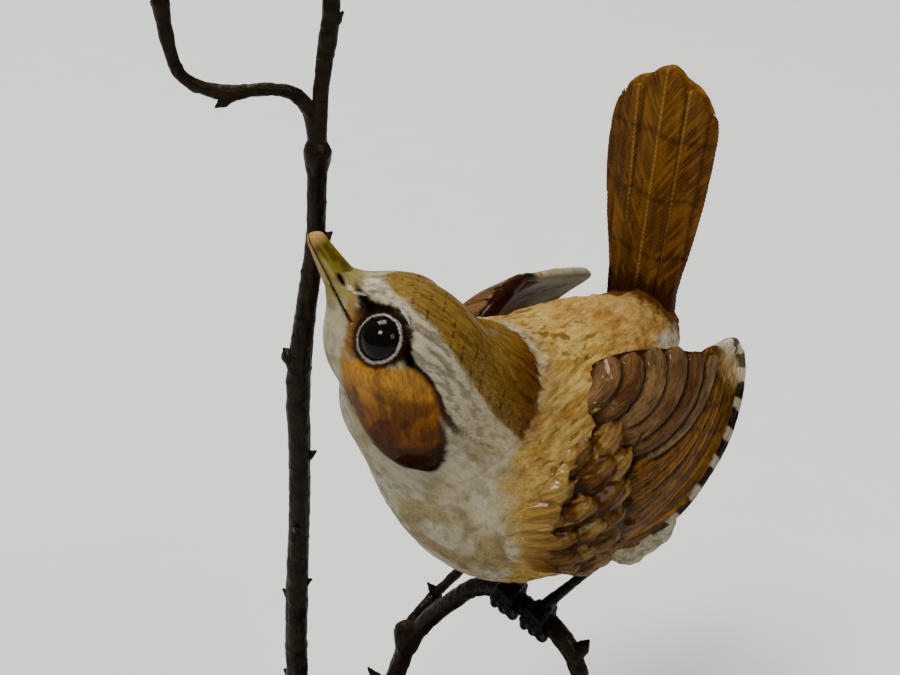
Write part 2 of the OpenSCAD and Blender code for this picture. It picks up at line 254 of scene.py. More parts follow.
def flank_field(p):
    """The fluffed flanks behind and below the wings. The left one, on the leaning side, hangs lower."""
    left = round_cone(p, arr(-11.5, 19.6, -16.6), arr(-7.0, 17.6, -19.6), 5.2, 4.5)
    right = round_cone(p, arr(-15.0, -13.8, -12.2), arr(-3.5, -13.2, -15.2), 5.6, 5.4)
    return np.minimum(left, right)


def body_field(p):
    """The whole bird but its wings, tail, bill and legs."""
    q = to_head(p)
    rump = round_cone(p, arr(-12, 0, 1), arr(-31.5, 3.0, 8.8), 17.5, 8.8)
    neck = round_cone(p, arr(3, -1, 4), arr(17, -4, 20), 18.5, 12.5)
    breast = round_cone(p, arr(12, -7, 8), arr(20.5, -11, 20), 17.0, 13.2)
    d = ellipsoid(p, egg_radii(p[..., 0], 29.0, 35.5, 22.8))
    for part, blend in ((rump, 7), (neck, 8), (breast, 8), (flank_field(p), 4.5), (head_field(q), 5.0)):
        d = smin(d, part, blend)
    # the skin lies flat round each eye, under a thin raised lid, and the socket is cut into it
    high, wide = eye_place(q)
    d = d + (high + 0.10 - d) * step(9.0, 4.0, wide) * step(4.0, 2.0, np.abs(high))
    d = smin(d, eye_ring(q) - LID_R, 0.3)
    return np.maximum(d, EYE_R + 0.03 - length(mirror_y(q) - EYE))


# a field's grid: cells along a block, blocks worked out at a time, the furthest distance
# kept, and half a cube's diagonal for a side of 1
BLOCK, BATCH, FAR, HALF_DIAGONAL = 8, 400, 3.0, 0.87


def field_mesh(field, lo, hi, h, margin=1.35):
    """Quads of a field's zero surface. Only blocks near the surface are worked out."""
    block = BLOCK
    n = [int(math.ceil((hi[i] - lo[i]) / h / block)) for i in range(3)]
    side = block * h
    ix = np.stack(np.meshgrid(*[np.arange(k) for k in n], indexing="ij"), -1).reshape(-1, 3)
    centre = field(arr(*lo) + (ix + 0.5) * side)
    grid = np.sign(centre).reshape(n) * FAR
    for axis in range(3):
        grid = np.repeat(grid, block, axis)
    grid = grid.astype(np.float32)
    near = ix[np.abs(centre) < side * HALF_DIAGONAL * margin]
    o = np.stack(np.meshgrid(*[np.arange(block)] * 3, indexing="ij"), -1).reshape(1, -1, 3)
    for k in range(0, len(near), BATCH):
        c = near[k:k + BATCH, None, :] * block + o
        grid[c[..., 0], c[..., 1], c[..., 2]] = field(arr(*lo) + c * h)
    g = vdb.FloatGrid(FAR)
    g.copyFromArray(np.clip(grid, -FAR, FAR))
    v, quads = g.convertToQuads(0.0)[:2]
    return np.array(v, float) * h + arr(*lo), np.array(quads, int)


def gradient(field, v, e=0.05):
    """A field's slope at points, from four samples e away."""
    out = np.zeros_like(v)
    for k in arr(1, 1, 1), arr(1, -1, -1), arr(-1, 1, -1), arr(-1, -1, 1):
        out += k * field(v + k * e)[:, None]
    return out / (4 * e)


def settle(field, v, rounds=2, e=0.05):
    """Moves points on to a field's zero surface, by at most a short step in each round."""
    longest, flattest = 0.3, 0.2
    for _ in range(rounds):
        g = gradient(field, v, e)
        move = (field(v) / np.maximum((g * g).sum(1), flattest))[:, None]
        v = v - g * clamp(move, -longest, longest)
    return v


# ---------------------------------------------------------------- building meshes


def normals_of(v, f):
    """Smooth normals at the points of a mesh of quads."""
    n = np.cross(v[f[:, 2]] - v[f[:, 0]], v[f[:, 3]] - v[f[:, 1]])
    out = np.zeros_like(v)
    for k in range(4):
        np.add.at(out, f[:, k], n)
    return unit(out)


def linked(name, data):
    """A new object of this data, in the scene."""
    o = bpy.data.objects.new(name, data)
    scene.collection.objects.link(o)
    return o


def make_piece(name, verts, faces, nodes, material, slot=None, world=True, smooth=True, sharp=None,
               normals=None):
    """A mesh from points in millimetres. world is False for points in the bird's frame."""
    v = np.asarray(verts, float)
    if not world:
        v = to_world(v)
    me = bpy.data.meshes.new(name)
    if isinstance(faces, np.ndarray):
        faces = faces.tolist()
    me.from_pydata((v * MM).tolist(), [], faces)
    me.update()
    o = linked(name, me)
    me.polygons.foreach_set("use_smooth", [smooth] * len(me.polygons))
    if sharp:
        me.set_sharp_from_angle(angle=math.radians(sharp))
    if normals is not None:
        me.normals_split_custom_set_from_vertices((normals @ BIRD.T).tolist())
    me.materials.append(material)
    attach(o, "root")
    if nodes:
        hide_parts(*nodes)
    return o


def paint(o, colour, ink=None, flow=None):
    """Painted colour, how much the brush marks darken it, and the strokes' own coordinates."""
    me = o.data
    a = me.color_attributes.new("paint", "FLOAT_COLOR", "POINT")
    rgba = np.ones((len(colour), 4), np.float32)
    rgba[:, :3] = np.clip(colour, 0, 1)
    a.data.foreach_set("color", rgba.ravel())
    if ink is not None:
        a = me.attributes.new("ink", "FLOAT", "POINT")
        a.data.foreach_set("value", ink.astype(np.float32))
    if flow is not None:
        a = me.attributes.new("flow", "FLOAT_VECTOR", "POINT")
        a.data.foreach_set("vector", flow.astype(np.float32).ravel())


# ---------------------------------------------------------------- materials

PAINT_GAIN, PAINT_CONTRAST = 1.02, 1.26


def tint(r, g, b):
    """Albedo of a paint, from the 8-bit colour that it shows under the studio light."""
    c = arr(r, g, b) / 255
    c = np.where(c < 0.04045, c / 12.92, ((c + 0.055) / 1.055) ** 2.4)
    return clamp(PAINT_GAIN * c ** PAINT_CONTRAST, 0, 0.9)


class Nodes:
    """A short way to write a material's nodes."""

    def __init__(self, name):
        self.material = bpy.data.materials.new(name)
        self.material.use_nodes = True
        self.tree = self.material.node_tree
        self.shader = self.tree.nodes["Principled BSDF"]

    def node(self, kind, settings=(), **inputs):
        n = self.tree.nodes.new(kind)
        for key, value in dict(settings).items():
            setattr(n, key, value)
        for key, value in inputs.items():
            slot = int(key[1:]) if key[0] == "i" and key[1:].isdigit() else key.replace("_", " ")
            self.put(n.inputs[slot], value)
        return n

    def put(self, socket, value):
        if isinstance(value, bpy.types.NodeSocket):
            self.tree.links.new(value, socket)
        elif isinstance(value, tuple) and len(value) == 3 and socket.type == "RGBA":
            socket.default_value = (*value, 1)
        else:
            socket.default_value = value

    def set(self, **inputs):
        for key, value in inputs.items():
            self.put(self.shader.inputs[key.replace("_", " ")], value)

    def attribute(self, name, output="Color"):
        return self.node("ShaderNodeAttribute", {"attribute_name": name}).outputs[output]

    def noise(self, vector, scale, detail=3.0, roughness=0.55, distortion=0.0):
        return self.node("ShaderNodeTexNoise", Vector=vector, Scale=scale, Detail=detail,
                         Roughness=roughness, Distortion=distortion).outputs["Fac"]

    def ramp(self, value, lo, hi, a=0.0, b=1.0):
        return self.node("ShaderNodeMapRange", Value=value, From_Min=lo, From_Max=hi,
                         To_Min=a, To_Max=b).outputs[0]

    def math(self, operation, a, b=0.5):
        return self.node("ShaderNodeMath", {"operation": operation}, i0=a, i1=b).outputs[0]

    def mix(self, factor, a, b, blend="MIX"):
        n = self.node("ShaderNodeMix", {"data_type": "RGBA", "blend_type": blend})
        self.put(n.inputs[0], factor)
        self.put(n.inputs[6], a)
        self.put(n.inputs[7], b)
        return n.outputs[2]

    def stretch(self, vector, x, y, z):
        return self.node("ShaderNodeMapping", Vector=vector, Scale=(x, y, z)).outputs[0]

    def position(self):
        return self.node("ShaderNodeTexCoord").outputs["Object"]

    def millimetres(self, scale=1.0):
        return self.stretch(self.position(), *[scale / MM] * 3)

    def bump(self, height, distance, strength=1.0, normal=None):
        n = self.node("ShaderNodeBump", Height=height, Distance=distance * MM, Strength=strength)
        if normal is not None:
            self.put(n.inputs["Normal"], normal)
        return n.outputs[0]


def porcelain(name, streak=1.0, fine=1.0, gloss=0.33, relief=0.05):
    """Hand-painted glazed porcelain. The strokes follow the attribute flow."""
    m = Nodes(name)
    flow = m.attribute("flow", "Vector")
    ink = m.attribute("ink", "Fac")
    base = m.attribute("paint")
    hair = m.noise(m.stretch(flow, *[3.4 * fine] * 3), 1.0, 2.0, 0.6)
    brush = m.noise(m.stretch(flow, *[1.15 * fine] * 3), 1.0, 4.0, 0.65)
    wash = m.noise(m.millimetres(), 0.35, 3.0, 0.6, 0.4)
    dark = m.math("MULTIPLY", m.ramp(hair, 0.48, 0.64), ink)
    dark2 = m.math("MULTIPLY", m.ramp(brush, 0.50, 0.62), ink)
    deep = m.mix(1.0, base, (0.30, 0.20, 0.10), "MULTIPLY")
    pale = m.ramp(hair, 0.40, 0.22, 0.0, 0.35 * streak)
    lit = m.mix(pale, base, m.mix(1.0, base, (1.5, 1.45, 1.35), "MULTIPLY"))
    colour = m.mix(m.math("MULTIPLY", dark, 0.75 * streak), lit, deep)
    colour = m.mix(m.math("MULTIPLY", dark2, 0.55 * streak), colour, deep)
    shade = m.mix(1.0, colour, (0.80, 0.77, 0.72), "MULTIPLY")
    colour = m.mix(m.ramp(wash, 0.42, 0.72, 0.0, 0.5), colour, shade)
    m.set(Base_Color=colour, Roughness=m.ramp(wash, 0.3, 0.7, gloss - 0.05, gloss + 0.09),
          Specular_IOR_Level=0.0, Coat_Weight=0.13, Coat_Roughness=0.07, Subsurface_Weight=0.04,
          Subsurface_Radius=(0.9, 0.6, 0.4), Subsurface_Scale=0.0006)
    height = m.math("ADD", m.math("MULTIPLY", hair, 0.5), brush)
    m.set(Normal=m.bump(height, relief * 3.0, 0.7))
    return m.material


def eye_glass():
    """Black glass with a trace of brown."""
    m = Nodes("eye_glass")
    fleck = m.noise(m.millimetres(), 2.5, 4.0, 0.6)
    black, brown = (0.0022, 0.0018, 0.0018), (0.008, 0.004, 0.002)
    m.set(Base_Color=m.mix(m.ramp(fleck, 0.45, 0.75, 0.0, 0.6), black, brown),
          Roughness=0.04, Specular_IOR_Level=0.10)
    return m.material


def bronze(name, dark, light, rough=0.42, scale=1.0):
    """Patinated bronze: a dark skin, rubbed lighter on the high places."""
    m = Nodes(name)
    pos = m.millimetres(scale)
    along = m.stretch(m.position(), 2600 * scale, 2600 * scale, 420 * scale)
    grain = m.noise(along, 1.0, 4.0, 0.65, 0.3)
    blotch = m.noise(pos, 0.28, 4.0, 0.6, 0.5)
    cells = m.node("ShaderNodeTexVoronoi", {"feature": "F1"}, Vector=pos, Scale=1.3)
    pit = cells.outputs["Distance"]
    colour = m.mix(m.ramp(blotch, 0.36, 0.7), dark, light)
    colour = m.mix(m.ramp(grain, 0.55, 0.8, 0.0, 0.6), colour, tuple(1.6 * c for c in light))
    m.set(Base_Color=colour, Metallic=0.2, Specular_IOR_Level=0.06,
          Roughness=m.ramp(grain, 0.3, 0.75, rough - 0.1, rough + 0.2),
          Coat_Weight=0.05, Coat_Roughness=0.10)
    height = m.math("ADD", grain, m.math("MULTIPLY", pit, 0.5))
    m.set(Normal=m.bump(height, 0.22, 0.8))
    return m.material


def walnut():
    """Polished walnut, its grain along x."""
    m = Nodes("plinth_wood")
    pos = m.position()
    warp = m.noise(m.stretch(pos, 30, 8, 30), 1.0, 3.0, 0.5)
    bands = {"wave_type": "BANDS", "bands_direction": "Y"}
    ring = m.node("ShaderNodeTexWave", bands, Vector=m.stretch(pos, 9, 34, 20), Scale=1.0,
                  Distortion=m.ramp(warp, 0.0, 1.0, 7.0, 14.0), Detail=3.0, Detail_Scale=1.2).outputs["Fac"]
    pore = m.noise(m.stretch(pos, 90, 1900, 1900), 1.0, 3.0, 0.7)
    colour = m.mix(m.ramp(ring, 0.1, 0.9), (0.050, 0.022, 0.011), (0.092, 0.041, 0.019))
    line = m.noise(m.stretch(pos, 12, 520, 520), 1.0, 4.0, 0.65)
    colour = m.mix(m.ramp(line, 0.42, 0.62, 0.0, 0.6), colour, (0.030, 0.013, 0.006))
    colour = m.mix(m.ramp(pore, 0.56, 0.66, 0.0, 0.7), colour, (0.020, 0.009, 0.004))
    m.set(Base_Color=colour, Roughness=m.ramp(pore, 0.3, 0.7, 0.24, 0.44),
          Coat_Weight=0.5, Coat_Roughness=0.12)
    m.set(Normal=m.bump(pore, 0.05, 0.5))
    return m.material


def felt():
    """Green baize."""
    m = Nodes("felt_green")
    pos = m.position()
    fibre = m.noise(m.stretch(pos, 2600, 2600, 2600), 1.0, 4.0, 0.8, 1.5)
    tuft = m.noise(m.stretch(pos, 300, 300, 300), 1.0, 3.0, 0.6)
    colour = m.mix(m.ramp(fibre, 0.35, 0.65), (0.008, 0.030, 0.016), (0.025, 0.075, 0.040))
    colour = m.mix(m.ramp(tuft, 0.5, 0.8, 0.0, 0.4), colour, (0.012, 0.030, 0.020))
    m.set(Base_Color=colour, Roughness=0.95, Sheen_Weight=0.4, Sheen_Roughness=0.5)
    m.set(Normal=m.bump(fibre, 0.25, 0.9))
    return m.material


def steel():
    """Zinc-plated steel, a little stained."""
    m = Nodes("zinc_steel")
    pos = m.position()
    brushed = m.noise(m.stretch(pos, 700, 700, 7000), 1.0, 3.0, 0.6)
    stain = m.noise(m.stretch(pos, 500, 500, 500), 1.0, 4.0, 0.6)
    colour = m.mix(m.ramp(stain, 0.35, 0.7), (0.52, 0.52, 0.50), (0.34, 0.34, 0.33))
    m.set(Base_Color=colour, Metallic=1.0, Roughness=m.ramp(brushed, 0.3, 0.7, 0.25, 0.45))
    m.set(Normal=m.bump(brushed, 0.02, 0.5))
    return m.material


def plaster():
    """Cast plaster, faintly mottled."""
    m = Nodes("plaster")
    grain = m.noise(m.millimetres(), 1.8, 4.0, 0.7)
    colour = m.mix(m.ramp(grain, 0.3, 0.7), (0.62, 0.60, 0.55), (0.74, 0.72, 0.68))
    m.set(Base_Color=colour, Roughness=0.9)
    m.set(Normal=m.bump(grain, 0.1, 0.6))
    return m.material


def floor_paper():
    """Pale, slightly cool paper."""
    m = Nodes("floor_paper")
    grain = m.noise(m.stretch(m.position(), 40, 40, 40), 1.0, 3.0, 0.5)
    colour = m.mix(m.ramp(grain, 0.3, 0.7), (0.665, 0.692, 0.722), (0.68, 0.707, 0.737))
    m.set(Base_Color=colour, Roughness=0.9)
    return m.material


# ---------------------------------------------------------------- camera, lights, floor


WARM_LIGHT = (1.0, 0.965, 0.89)
# each light's place, what it is aimed at, its width in metres, its watts and its colour
LIGHTS = {
    "key": ((-0.75, -1.15, 2.5), (0.02, 0, 0.12), 0.7, 78.0, WARM_LIGHT),
    "window": ((1.5, -1.3, 1.6), (0.02, 0, 0.11), 0.8, 16.0, (1.0, 0.97, 0.91)),
    "back": ((-0.35, 1.3, 2.4), (-0.15, 0.3, 0.05), 1.2, 74.0, WARM_LIGHT),
}
FLOOR_HALF = 3.0


def studio():
    """The camera at the photograph's place, three soft lights and the floor."""
    lens = bpy.data.cameras.new("camera")
    lens.lens, lens.sensor_width, lens.sensor_fit = 60, 36, "HORIZONTAL"
    lens.clip_start, lens.clip_end = 0.01, 20
    camera = linked("camera", lens)
    camera.location = (0.004, -0.24289, 0.24926)
    camera.rotation_euler = (math.radians(65), 0, 0)
    scene.camera = camera
    world = bpy.data.worlds.new("world")
    world.use_nodes = True
    sky = world.node_tree.nodes["Background"].inputs
    sky["Color"].default_value = (0.94, 0.96, 0.97, 1)
    sky["Strength"].default_value = 0.14
    scene.world = world
    for name, (at, target, size, power, color) in LIGHTS.items():
        area = bpy.data.lights.new(name, "AREA")
        area.size, area.energy, area.color = size, power, color
        light = linked(name, area)
        light.location = at
        light.rotation_euler = (Vector(target) - Vector(at)).to_track_quat("-Z", "Y").to_euler()
    s = FLOOR_HALF
    me = bpy.data.meshes.new("floor")
    me.from_pydata([(-s, -s, 0), (s, -s, 0), (s, s, 0), (-s, s, 0)], [], [(0, 1, 2, 3)])
    me.materials.append(floor_paper())
    linked("floor", me)


# ---------------------------------------------------------------- plane outlines


def polyline_distance(px, py, points):
    """Distance to an open line, and the length along the line to the nearest place."""
    best = np.full(np.shape(px), 1e9)
    where = np.zeros(np.shape(px))
    run = 0.0
    for (ax, ay), (bx, by) in zip(points[:-1], points[1:]):
        ex, ey = bx - ax, by - ay
        size = math.hypot(ex, ey)
        t = clamp(((px - ax) * ex + (py - ay) * ey) / (size * size))
        d = np.hypot(px - ax - t * ex, py - ay - t * ey)
        near = d < best
        best = np.where(near, d, best)
        where = np.where(near, run + t * size, where)
        run += size
    return best, where


def inside(px, py, loop):
    """Whether points lie inside a closed outline, by the odd crossings of a ray."""
    odd = np.zeros(np.shape(px), bool)
    for (ax, ay), (bx, by) in zip(loop, loop[1:] + loop[:1]):
        if ay != by:
            cross = ((ay > py) != (by > py)) & (px < (bx - ax) * (py - ay) / (by - ay) + ax)
            odd ^= cross
    return odd


def loop_distance(px, py, loop):
    """Signed distance to a closed outline, below zero inside."""
    d, where = polyline_distance(px, py, loop + loop[:1])
    return np.where(inside(px, py, loop), -d, d), where


def smooth_line(points, steps=5, closed=False):
    """A Catmull-Rom curve through points."""
    p = [arr(*q) for q in points]
    n = len(p)
    out = []
    for i in range(n if closed else n - 1):
        if closed:
            a, b, c, d = (p[(i + k - 1) % n] for k in range(4))
        else:
            b, c = p[i], p[i + 1]
            a = p[i - 1] if i else 2 * b - c
            d = p[i + 2] if i + 2 < n else 2 * c - b
        for k in range(steps):
            t = k / steps
            out.append(0.5 * (2 * b + (c - a) * t + (2 * a - 5 * b + 4 * c - d) * t * t
                              + (3 * b - a - 3 * c + d) * t ** 3))
    if not closed:
        out.append(p[-1])
    return [tuple(q) for q in out]


def curve(x, points):
    """Height of a smoothed profile given as (x, height) points with x rising."""
    line = np.array(smooth_line(points))
    return np.interp(x, line[:, 0], line[:, 1])


# ---------------------------------------------------------------- paints

WHITE = tint(170, 165, 146)
WARM_WHITE = tint(150, 139, 106)
CREAM = tint(166, 145, 98)
GOLD = tint(166, 143, 90)
OCHRE = tint(146, 112, 46)
CHESTNUT = tint(100, 60, 14)
UMBER = tint(66, 36, 10)
CHOCOLATE = tint(46, 24, 10)
SEPIA = tint(26, 15, 9)
TAUPE = tint(127, 105, 76)
OLIVE = tint(131, 108, 56)
GREY = tint(112, 105, 90)
BLACK = arr(0.006, 0.005, 0.004)
HORN = tint(140, 130, 82)
LID_GREY = tint(146, 147, 140)

# outlines on the side of the head, as (ahead, up) in its own frame
CAP_EDGE = ((-24, -1), (-19, 0.4), (-14, 1.4), (-10, 3.1), (-6, 5.0), (-2.5, 6.6), (1, 8.0),
            (5, 9.1), (8, 9.3), (10.5, 9.1), (13, 8.5), (15, 7.9), (17.5, 7.0))
EYE_LINE = ((-24, -3), (-19, -2), (-14, -2.5), (-10, -2.2), (-7, -1.1), (-4.5, 0.2), (-1.8, 2.1),
            (0.5, 3.3), (2.8, 4.0), (5.5, 4.9), (7.5, 6.0), (10, 6.6), (12, 6.4), (14.7, 5.6), (18.5, 5.0))
CHEEK = ((13.0, -4.6), (11.8, -7.0), (9.6, -9.8), (6.4, -12.2), (3.3, -13.7), (0, -14.9), (-3.3, -15.6),
         (-6.4, -15.3), (-9, -14.0), (-10.9, -12.0), (-11.2, -9.6), (-9.7, -6.5), (-6.9, -3.2),
         (-4.6, -1.2), (-2.2, 0.9), (0.8, 2.4), (4.4, 3.4), (6.6, 2.4), (8.8, 0.4), (11.4, -1.0))
GAPE_STRIP = ((18.6, 4.0), (17.4, 2.9), (16.1, 1.5), (14.8, -0.7), (13.7, -3.0), (12.6, -5.0))
LORE = ((18.9, 5.1), (16.9, 4.9), (15.0, 5.6), (12.2, 7.2), (11.8, 5.0), (13.6, 1.4), (14.9, 0.8),
        (15.9, 2.4), (17.0, 3.9))
# how wide and how dark the line under the brow is, from the nape to the bill
EYE_LINE_WIDTH = ((-24, 0.8), (-16, 0.9), (-10, 1.5), (-5, 2.4), (0, 2.8), (6, 3.0), (11, 2.6), (16, 1.6),
                  (19, 0.6))
EYE_LINE_DARK = ((-24, 0), (-13, 0.1), (-9, 0.6), (-5, 1), (15, 1), (19, 0.8))
# directions of the cheek's strokes, and how much longer than wide a stroke's noise is
CHEEK_DOWN, CHEEK_ACROSS = arr(-0.72, 0, -0.69), arr(0.69, 0, -0.72)
ALONG = 0.16
TICK_PITCH = 3.1


def cheek_way(q):
    """Stroke coordinates that run back and down across the cheek."""
    return vec((q @ CHEEK_DOWN) * ALONG, q[:, 1], q @ CHEEK_ACROSS)


def cheek_patch(q, cheek):
    """The cheek: lit orange ahead and shaded chestnut behind, partly its own paint and partly painted light
    and shade; mottled, with short dark strokes at its back.
    """
    x, side, z = q[:, 0], np.abs(q[:, 1]), q[:, 2]
    run, across = q @ CHEEK_DOWN, q @ CHEEK_ACROSS
    # painted light and shade on the cheek's paint: lighter ahead and up, darker chestnut behind and down
    shade = mix(tint(170, 130, 62), tint(132, 88, 18), step(-5, 5, run))
    shade = mix(shade, tint(62, 34, 5), step(4, 12, run + 5 * (fbm(q / 3, 2, 19) - 0.5)))
    shade = mix(shade, tint(104, 64, 16), 0.6 * step(-9.5, -13.5, z) * step(-4, 3, x))
    shade = mix(shade, tint(84, 48, 8), 0.65 * blot(q / 3.4, 2, 29, 0.44, 0.58) * step(-6, 2, run))
    mottle = fbm(cheek_way(q) * 0.9, 3, 21)
    shade = mix(shade, 0.5 * shade, 0.8 * step(0.52, 0.64, mottle))
    shade = mix(shade, 1.4 * shade, 0.6 * step(0.44, 0.34, mottle) * step(8, 2, run))
    shade = mix(shade, tint(46, 24, 6), 0.8 * step(1.6, 0.2, -cheek) * step(0, 8, run) * step(-13, -9, z))
    mark = step(0.60, 0.68, noise(vec(run * 0.28, across * 1.25, side * 0.2), 23))
    return mix(shade, SEPIA, 0.8 * mark * step(3, 7, run) * step(1.5, -3.5, across))


def cap_tone(x, over_cap, streak, fray):
    """The cap's paint: olive ahead, chocolate at the nape, streaked."""
    tone = mix(tint(134, 110, 58), tint(145, 128, 80), step(3, 14, x))
    tone = mix(tone, tint(130, 106, 54), step(2, -8, x))
    tone = mix(tone, tint(101, 71, 30), step(-7, -15, x + 4 * fray))
    tone = mix(tone, tint(96, 66, 26), 0.6 * step(5, 9, over_cap) * step(0.4, 0.6, streak + 0.1))
    low = step(5.5, 1.0, over_cap) * step(-21, -13, x)
    tone = mix(tone, OLIVE * 0.95, 0.62 * low)
    tone = mix(tone, 0.50 * tone, 0.9 * step(0.52, 0.72, streak) * (1 - 0.5 * low))
    return mix(tone, 1.35 * tone, 0.5 * step(0.42, 0.28, streak))


def cap_ticks(q, over_cap, near):
    """Rows of short broken ticks across the cap's lower edge."""
    x, side = q[:, 0], np.abs(q[:, 1])
    u = x * 1.08 - over_cap * 0.55 + 0.7 * (noise(q / 2.2, 27) - 0.5)
    cell = np.floor(u / TICK_PITCH)
    skew = hash3(vec(cell, 0, 0).astype(np.int64), 31)
    gap = np.abs(u / TICK_PITCH - cell - 0.5) * TICK_PITCH
    tick = step(0.24, 0.12, gap) * step(-0.2, 0.2, over_cap)
    tick = tick * step(2.0 + 1.6 * skew, 1.4 + 1.2 * skew, over_cap)
    broken = step(0.38, 0.5, noise(q * arr(0.5, 2.2, 2.2), 33))
    return tick * broken * near * step(12.5, 10, x) * step(-19.5, -17, x) * step(0.8, 1.6, side)


def paint_head(q, base, ink):
    """Cap, brow, eye-line, cheek and throat, from the head's own coordinates q."""
    x, side, z = q[:, 0], np.abs(q[:, 1]), q[:, 2]
    out = length(q)
    over_cap = z - curve(x, CAP_EDGE)
    over_line = z - curve(x, EYE_LINE)
    streak = fbm(q * arr(0.14, 1.5, 1.5), 3, 5)
    fray = fbm(q * arr(0.35, 1.6, 1.6), 2, 8) - 0.5
    near = step(0.5, -0.5, out - 19.4 - 2.6 * fray)
    # white face and throat, with GREY streaks laid by noise as painted shade for its hollows
    face = mix(WHITE, WARM_WHITE, blot(q / 3.5, 3, 11, 0.4, 0.7))
    grain = fbm(q * arr(0.35, 0.9, 0.9), 4, 15)
    # painted shade: GREY streaks laid by noise
    face = mix(face, GREY, 0.38 * step(0.48, 0.66, grain))
    neck = step(-5, -18, x)
    face = mix(face, tint(132, 112, 64), neck * 0.5 * blot(q * arr(0.22, 0.7, 0.7), 4, 13, 0.42, 0.66))
    face = mix(face, tint(104, 76, 34), neck * 0.5 * blot(q * arr(0.25, 1.1, 1.1), 3, 17, 0.54, 0.70))
    on_face = step(-22, -14, x) * step(25, 19, out)
    col = mix(base, face, on_face)
    amount = mix(ink, 0.25, on_face)
    # the brow stripe
    brow = step(-0.35, 0.35, over_line + 0.5 * fray) * step(0.3, -0.3, over_cap + 0.5 * fray) * near
    pale = mix(WHITE * 1.05, GREY, 0.75 * step(0.50, 0.62, streak))
    pale = mix(pale, WARM_WHITE, step(4, -16, x) * 0.5)
    col = mix(col, pale, brow)
    amount = mix(amount, 0.42, brow)
    # dark line under the brow: wide round the eye, narrow behind the cheek
    width = curve(x, EYE_LINE_WIDTH)
    line = step(width, width * 0.45, -over_line + 0.6 * fray) * step(0.25, -0.25, over_line + 0.8 * fray)
    line = line * step(-24, -12, x) * step(18.6, 17.2, x) * near * step(2.0, 3.4, side)
    col = mix(col, mix(UMBER, SEPIA, step(-6, 6, x)), line * curve(x, EYE_LINE_DARK))
    amount = mix(amount, 0.8, line)
    # the strip of buff from the gape down to the throat
    strip, _ = polyline_distance(x, z, smooth_line(GAPE_STRIP))
    strip = step(1.3, 0.3, strip + 1.2 * fray) * step(1.5, 3, side)
    col = mix(col, tint(150, 120, 68), 0.85 * strip)
    # the cheek
    cheek, _ = loop_distance(x, z, smooth_line(CHEEK, closed=True))
    on = step(0.5, -0.7, cheek + 1.0 * fray) * step(2.5, 4.2, side)
    col = mix(col, cheek_patch(q, cheek), on)
    amount = mix(amount, 0.55, on)
    # the bill's colour and the mouth line run back on to the face
    fwd, top = unit(bill_point(1) - bill_point(0)), unit(bill_point(0, 0, 1) - bill_point(0))
    back_at, up_at = (q - BILL_BASE) @ fwd, (q - BILL_BASE) @ top
    horn = step(-2.4, 0.6, back_at + 1.6 * fray - 0.3 * np.abs(up_at - 0.6))
    col = mix(col, mix(HORN, tint(122, 112, 48), step(1.0, 4.0, back_at + 2 * fray)), 0.9 * horn)
    mouth = step(0.40, 0.20, np.abs(up_at + 0.55 + 0.20 * back_at))
    mouth = mouth * step(-4.3, -3.6, back_at) * step(0.6, 1.2, side)
    nostril = np.hypot((back_at - 2.3) / 1.1, (up_at - 1.0 + 0.15 * (back_at - 2.3)) / 0.42)
    mouth = np.maximum(mouth, step(1.15, 0.8, nostril) * step(0.8, 1.2, side))
    # the lore and the dark lid round the eye
    lore, _ = loop_distance(x, z, smooth_line(LORE, closed=True))
    lore = step(0.6, -0.4, lore + 0.9 * fray) * step(1.5, 2.6, side)
    col = mix(col, SEPIA * 0.7, 0.95 * lore)
    col = mix(col, SEPIA * 0.4, mouth)
    ring = eye_ring(q)
    above = step(-2.0, 1.0, z - 0.25 * (x - EYE[0]) - EYE[2])
    halo = step(2.6, 1.5, ring + 1.6 * fray)
    below = step(2.8, 1.4, ring + 1.4 * fray) * (1 - above)
    col = mix(col, tint(112, 82, 44), 0.8 * below * (1 - on * 0.5))
    col = mix(col, SEPIA, 0.96 * halo * above)
    col = mix(col, mix(UMBER, SEPIA, 0.6), 0.92 * step(1.5, 0.9, ring + 0.6 * fray))
    amount = amount * step(0.5, 1.2, ring)
    # the cap, which is frayed along its edges
    cap = step(-0.25, 0.35, over_cap + 0.7 * fray) * near * step(18.8, 17.4, x + 1.2 * fray)
    col = mix(col, cap_tone(x, over_cap, streak, fray), cap)
    amount = mix(amount, 0.75, cap)
    col = mix(col, SEPIA, 0.85 * cap_ticks(q, over_cap, near))
    # the pale lid, and black inside the socket
    off_glass = length(mirror_y(q) - EYE) - EYE_R
    col = mix(col, LID_GREY, step(0.40, 0.32, ring + 0.12 * fray) * step(0.10, 0.25, off_glass))
    col = mix(col, BLACK, step(0.20, 0.08, off_glass))
    # relief: a full cheek, furrows at the nape, and a cut for the mouth
    lift = 0.28 * step(0.6, -1.6, cheek) * step(2.5, 5, side)
    lift = lift + 0.30 * step(2.2, -1.5, cheek) * step(4, 12, q @ CHEEK_DOWN) * on
    lift = lift + 0.45 * cap * step(-6, -17, x) + 0.10 * (streak - 0.5) * cap
    lift = lift * step(0.9, 1.8, ring) - 0.22 * mouth
    return col, amount * (1 - mouth), lift


# how far ahead the mantle's gold reaches at each height, in the bird's frame
GOLD_EDGE = ((-24, 14), (-16, 19.5), (-9, 22.8), (-4, 24), (2, 25.2), (8, 25.4), (13, 24.2), (16, 22.4),
             (20, 19.5), (25, 14), (32, 8))


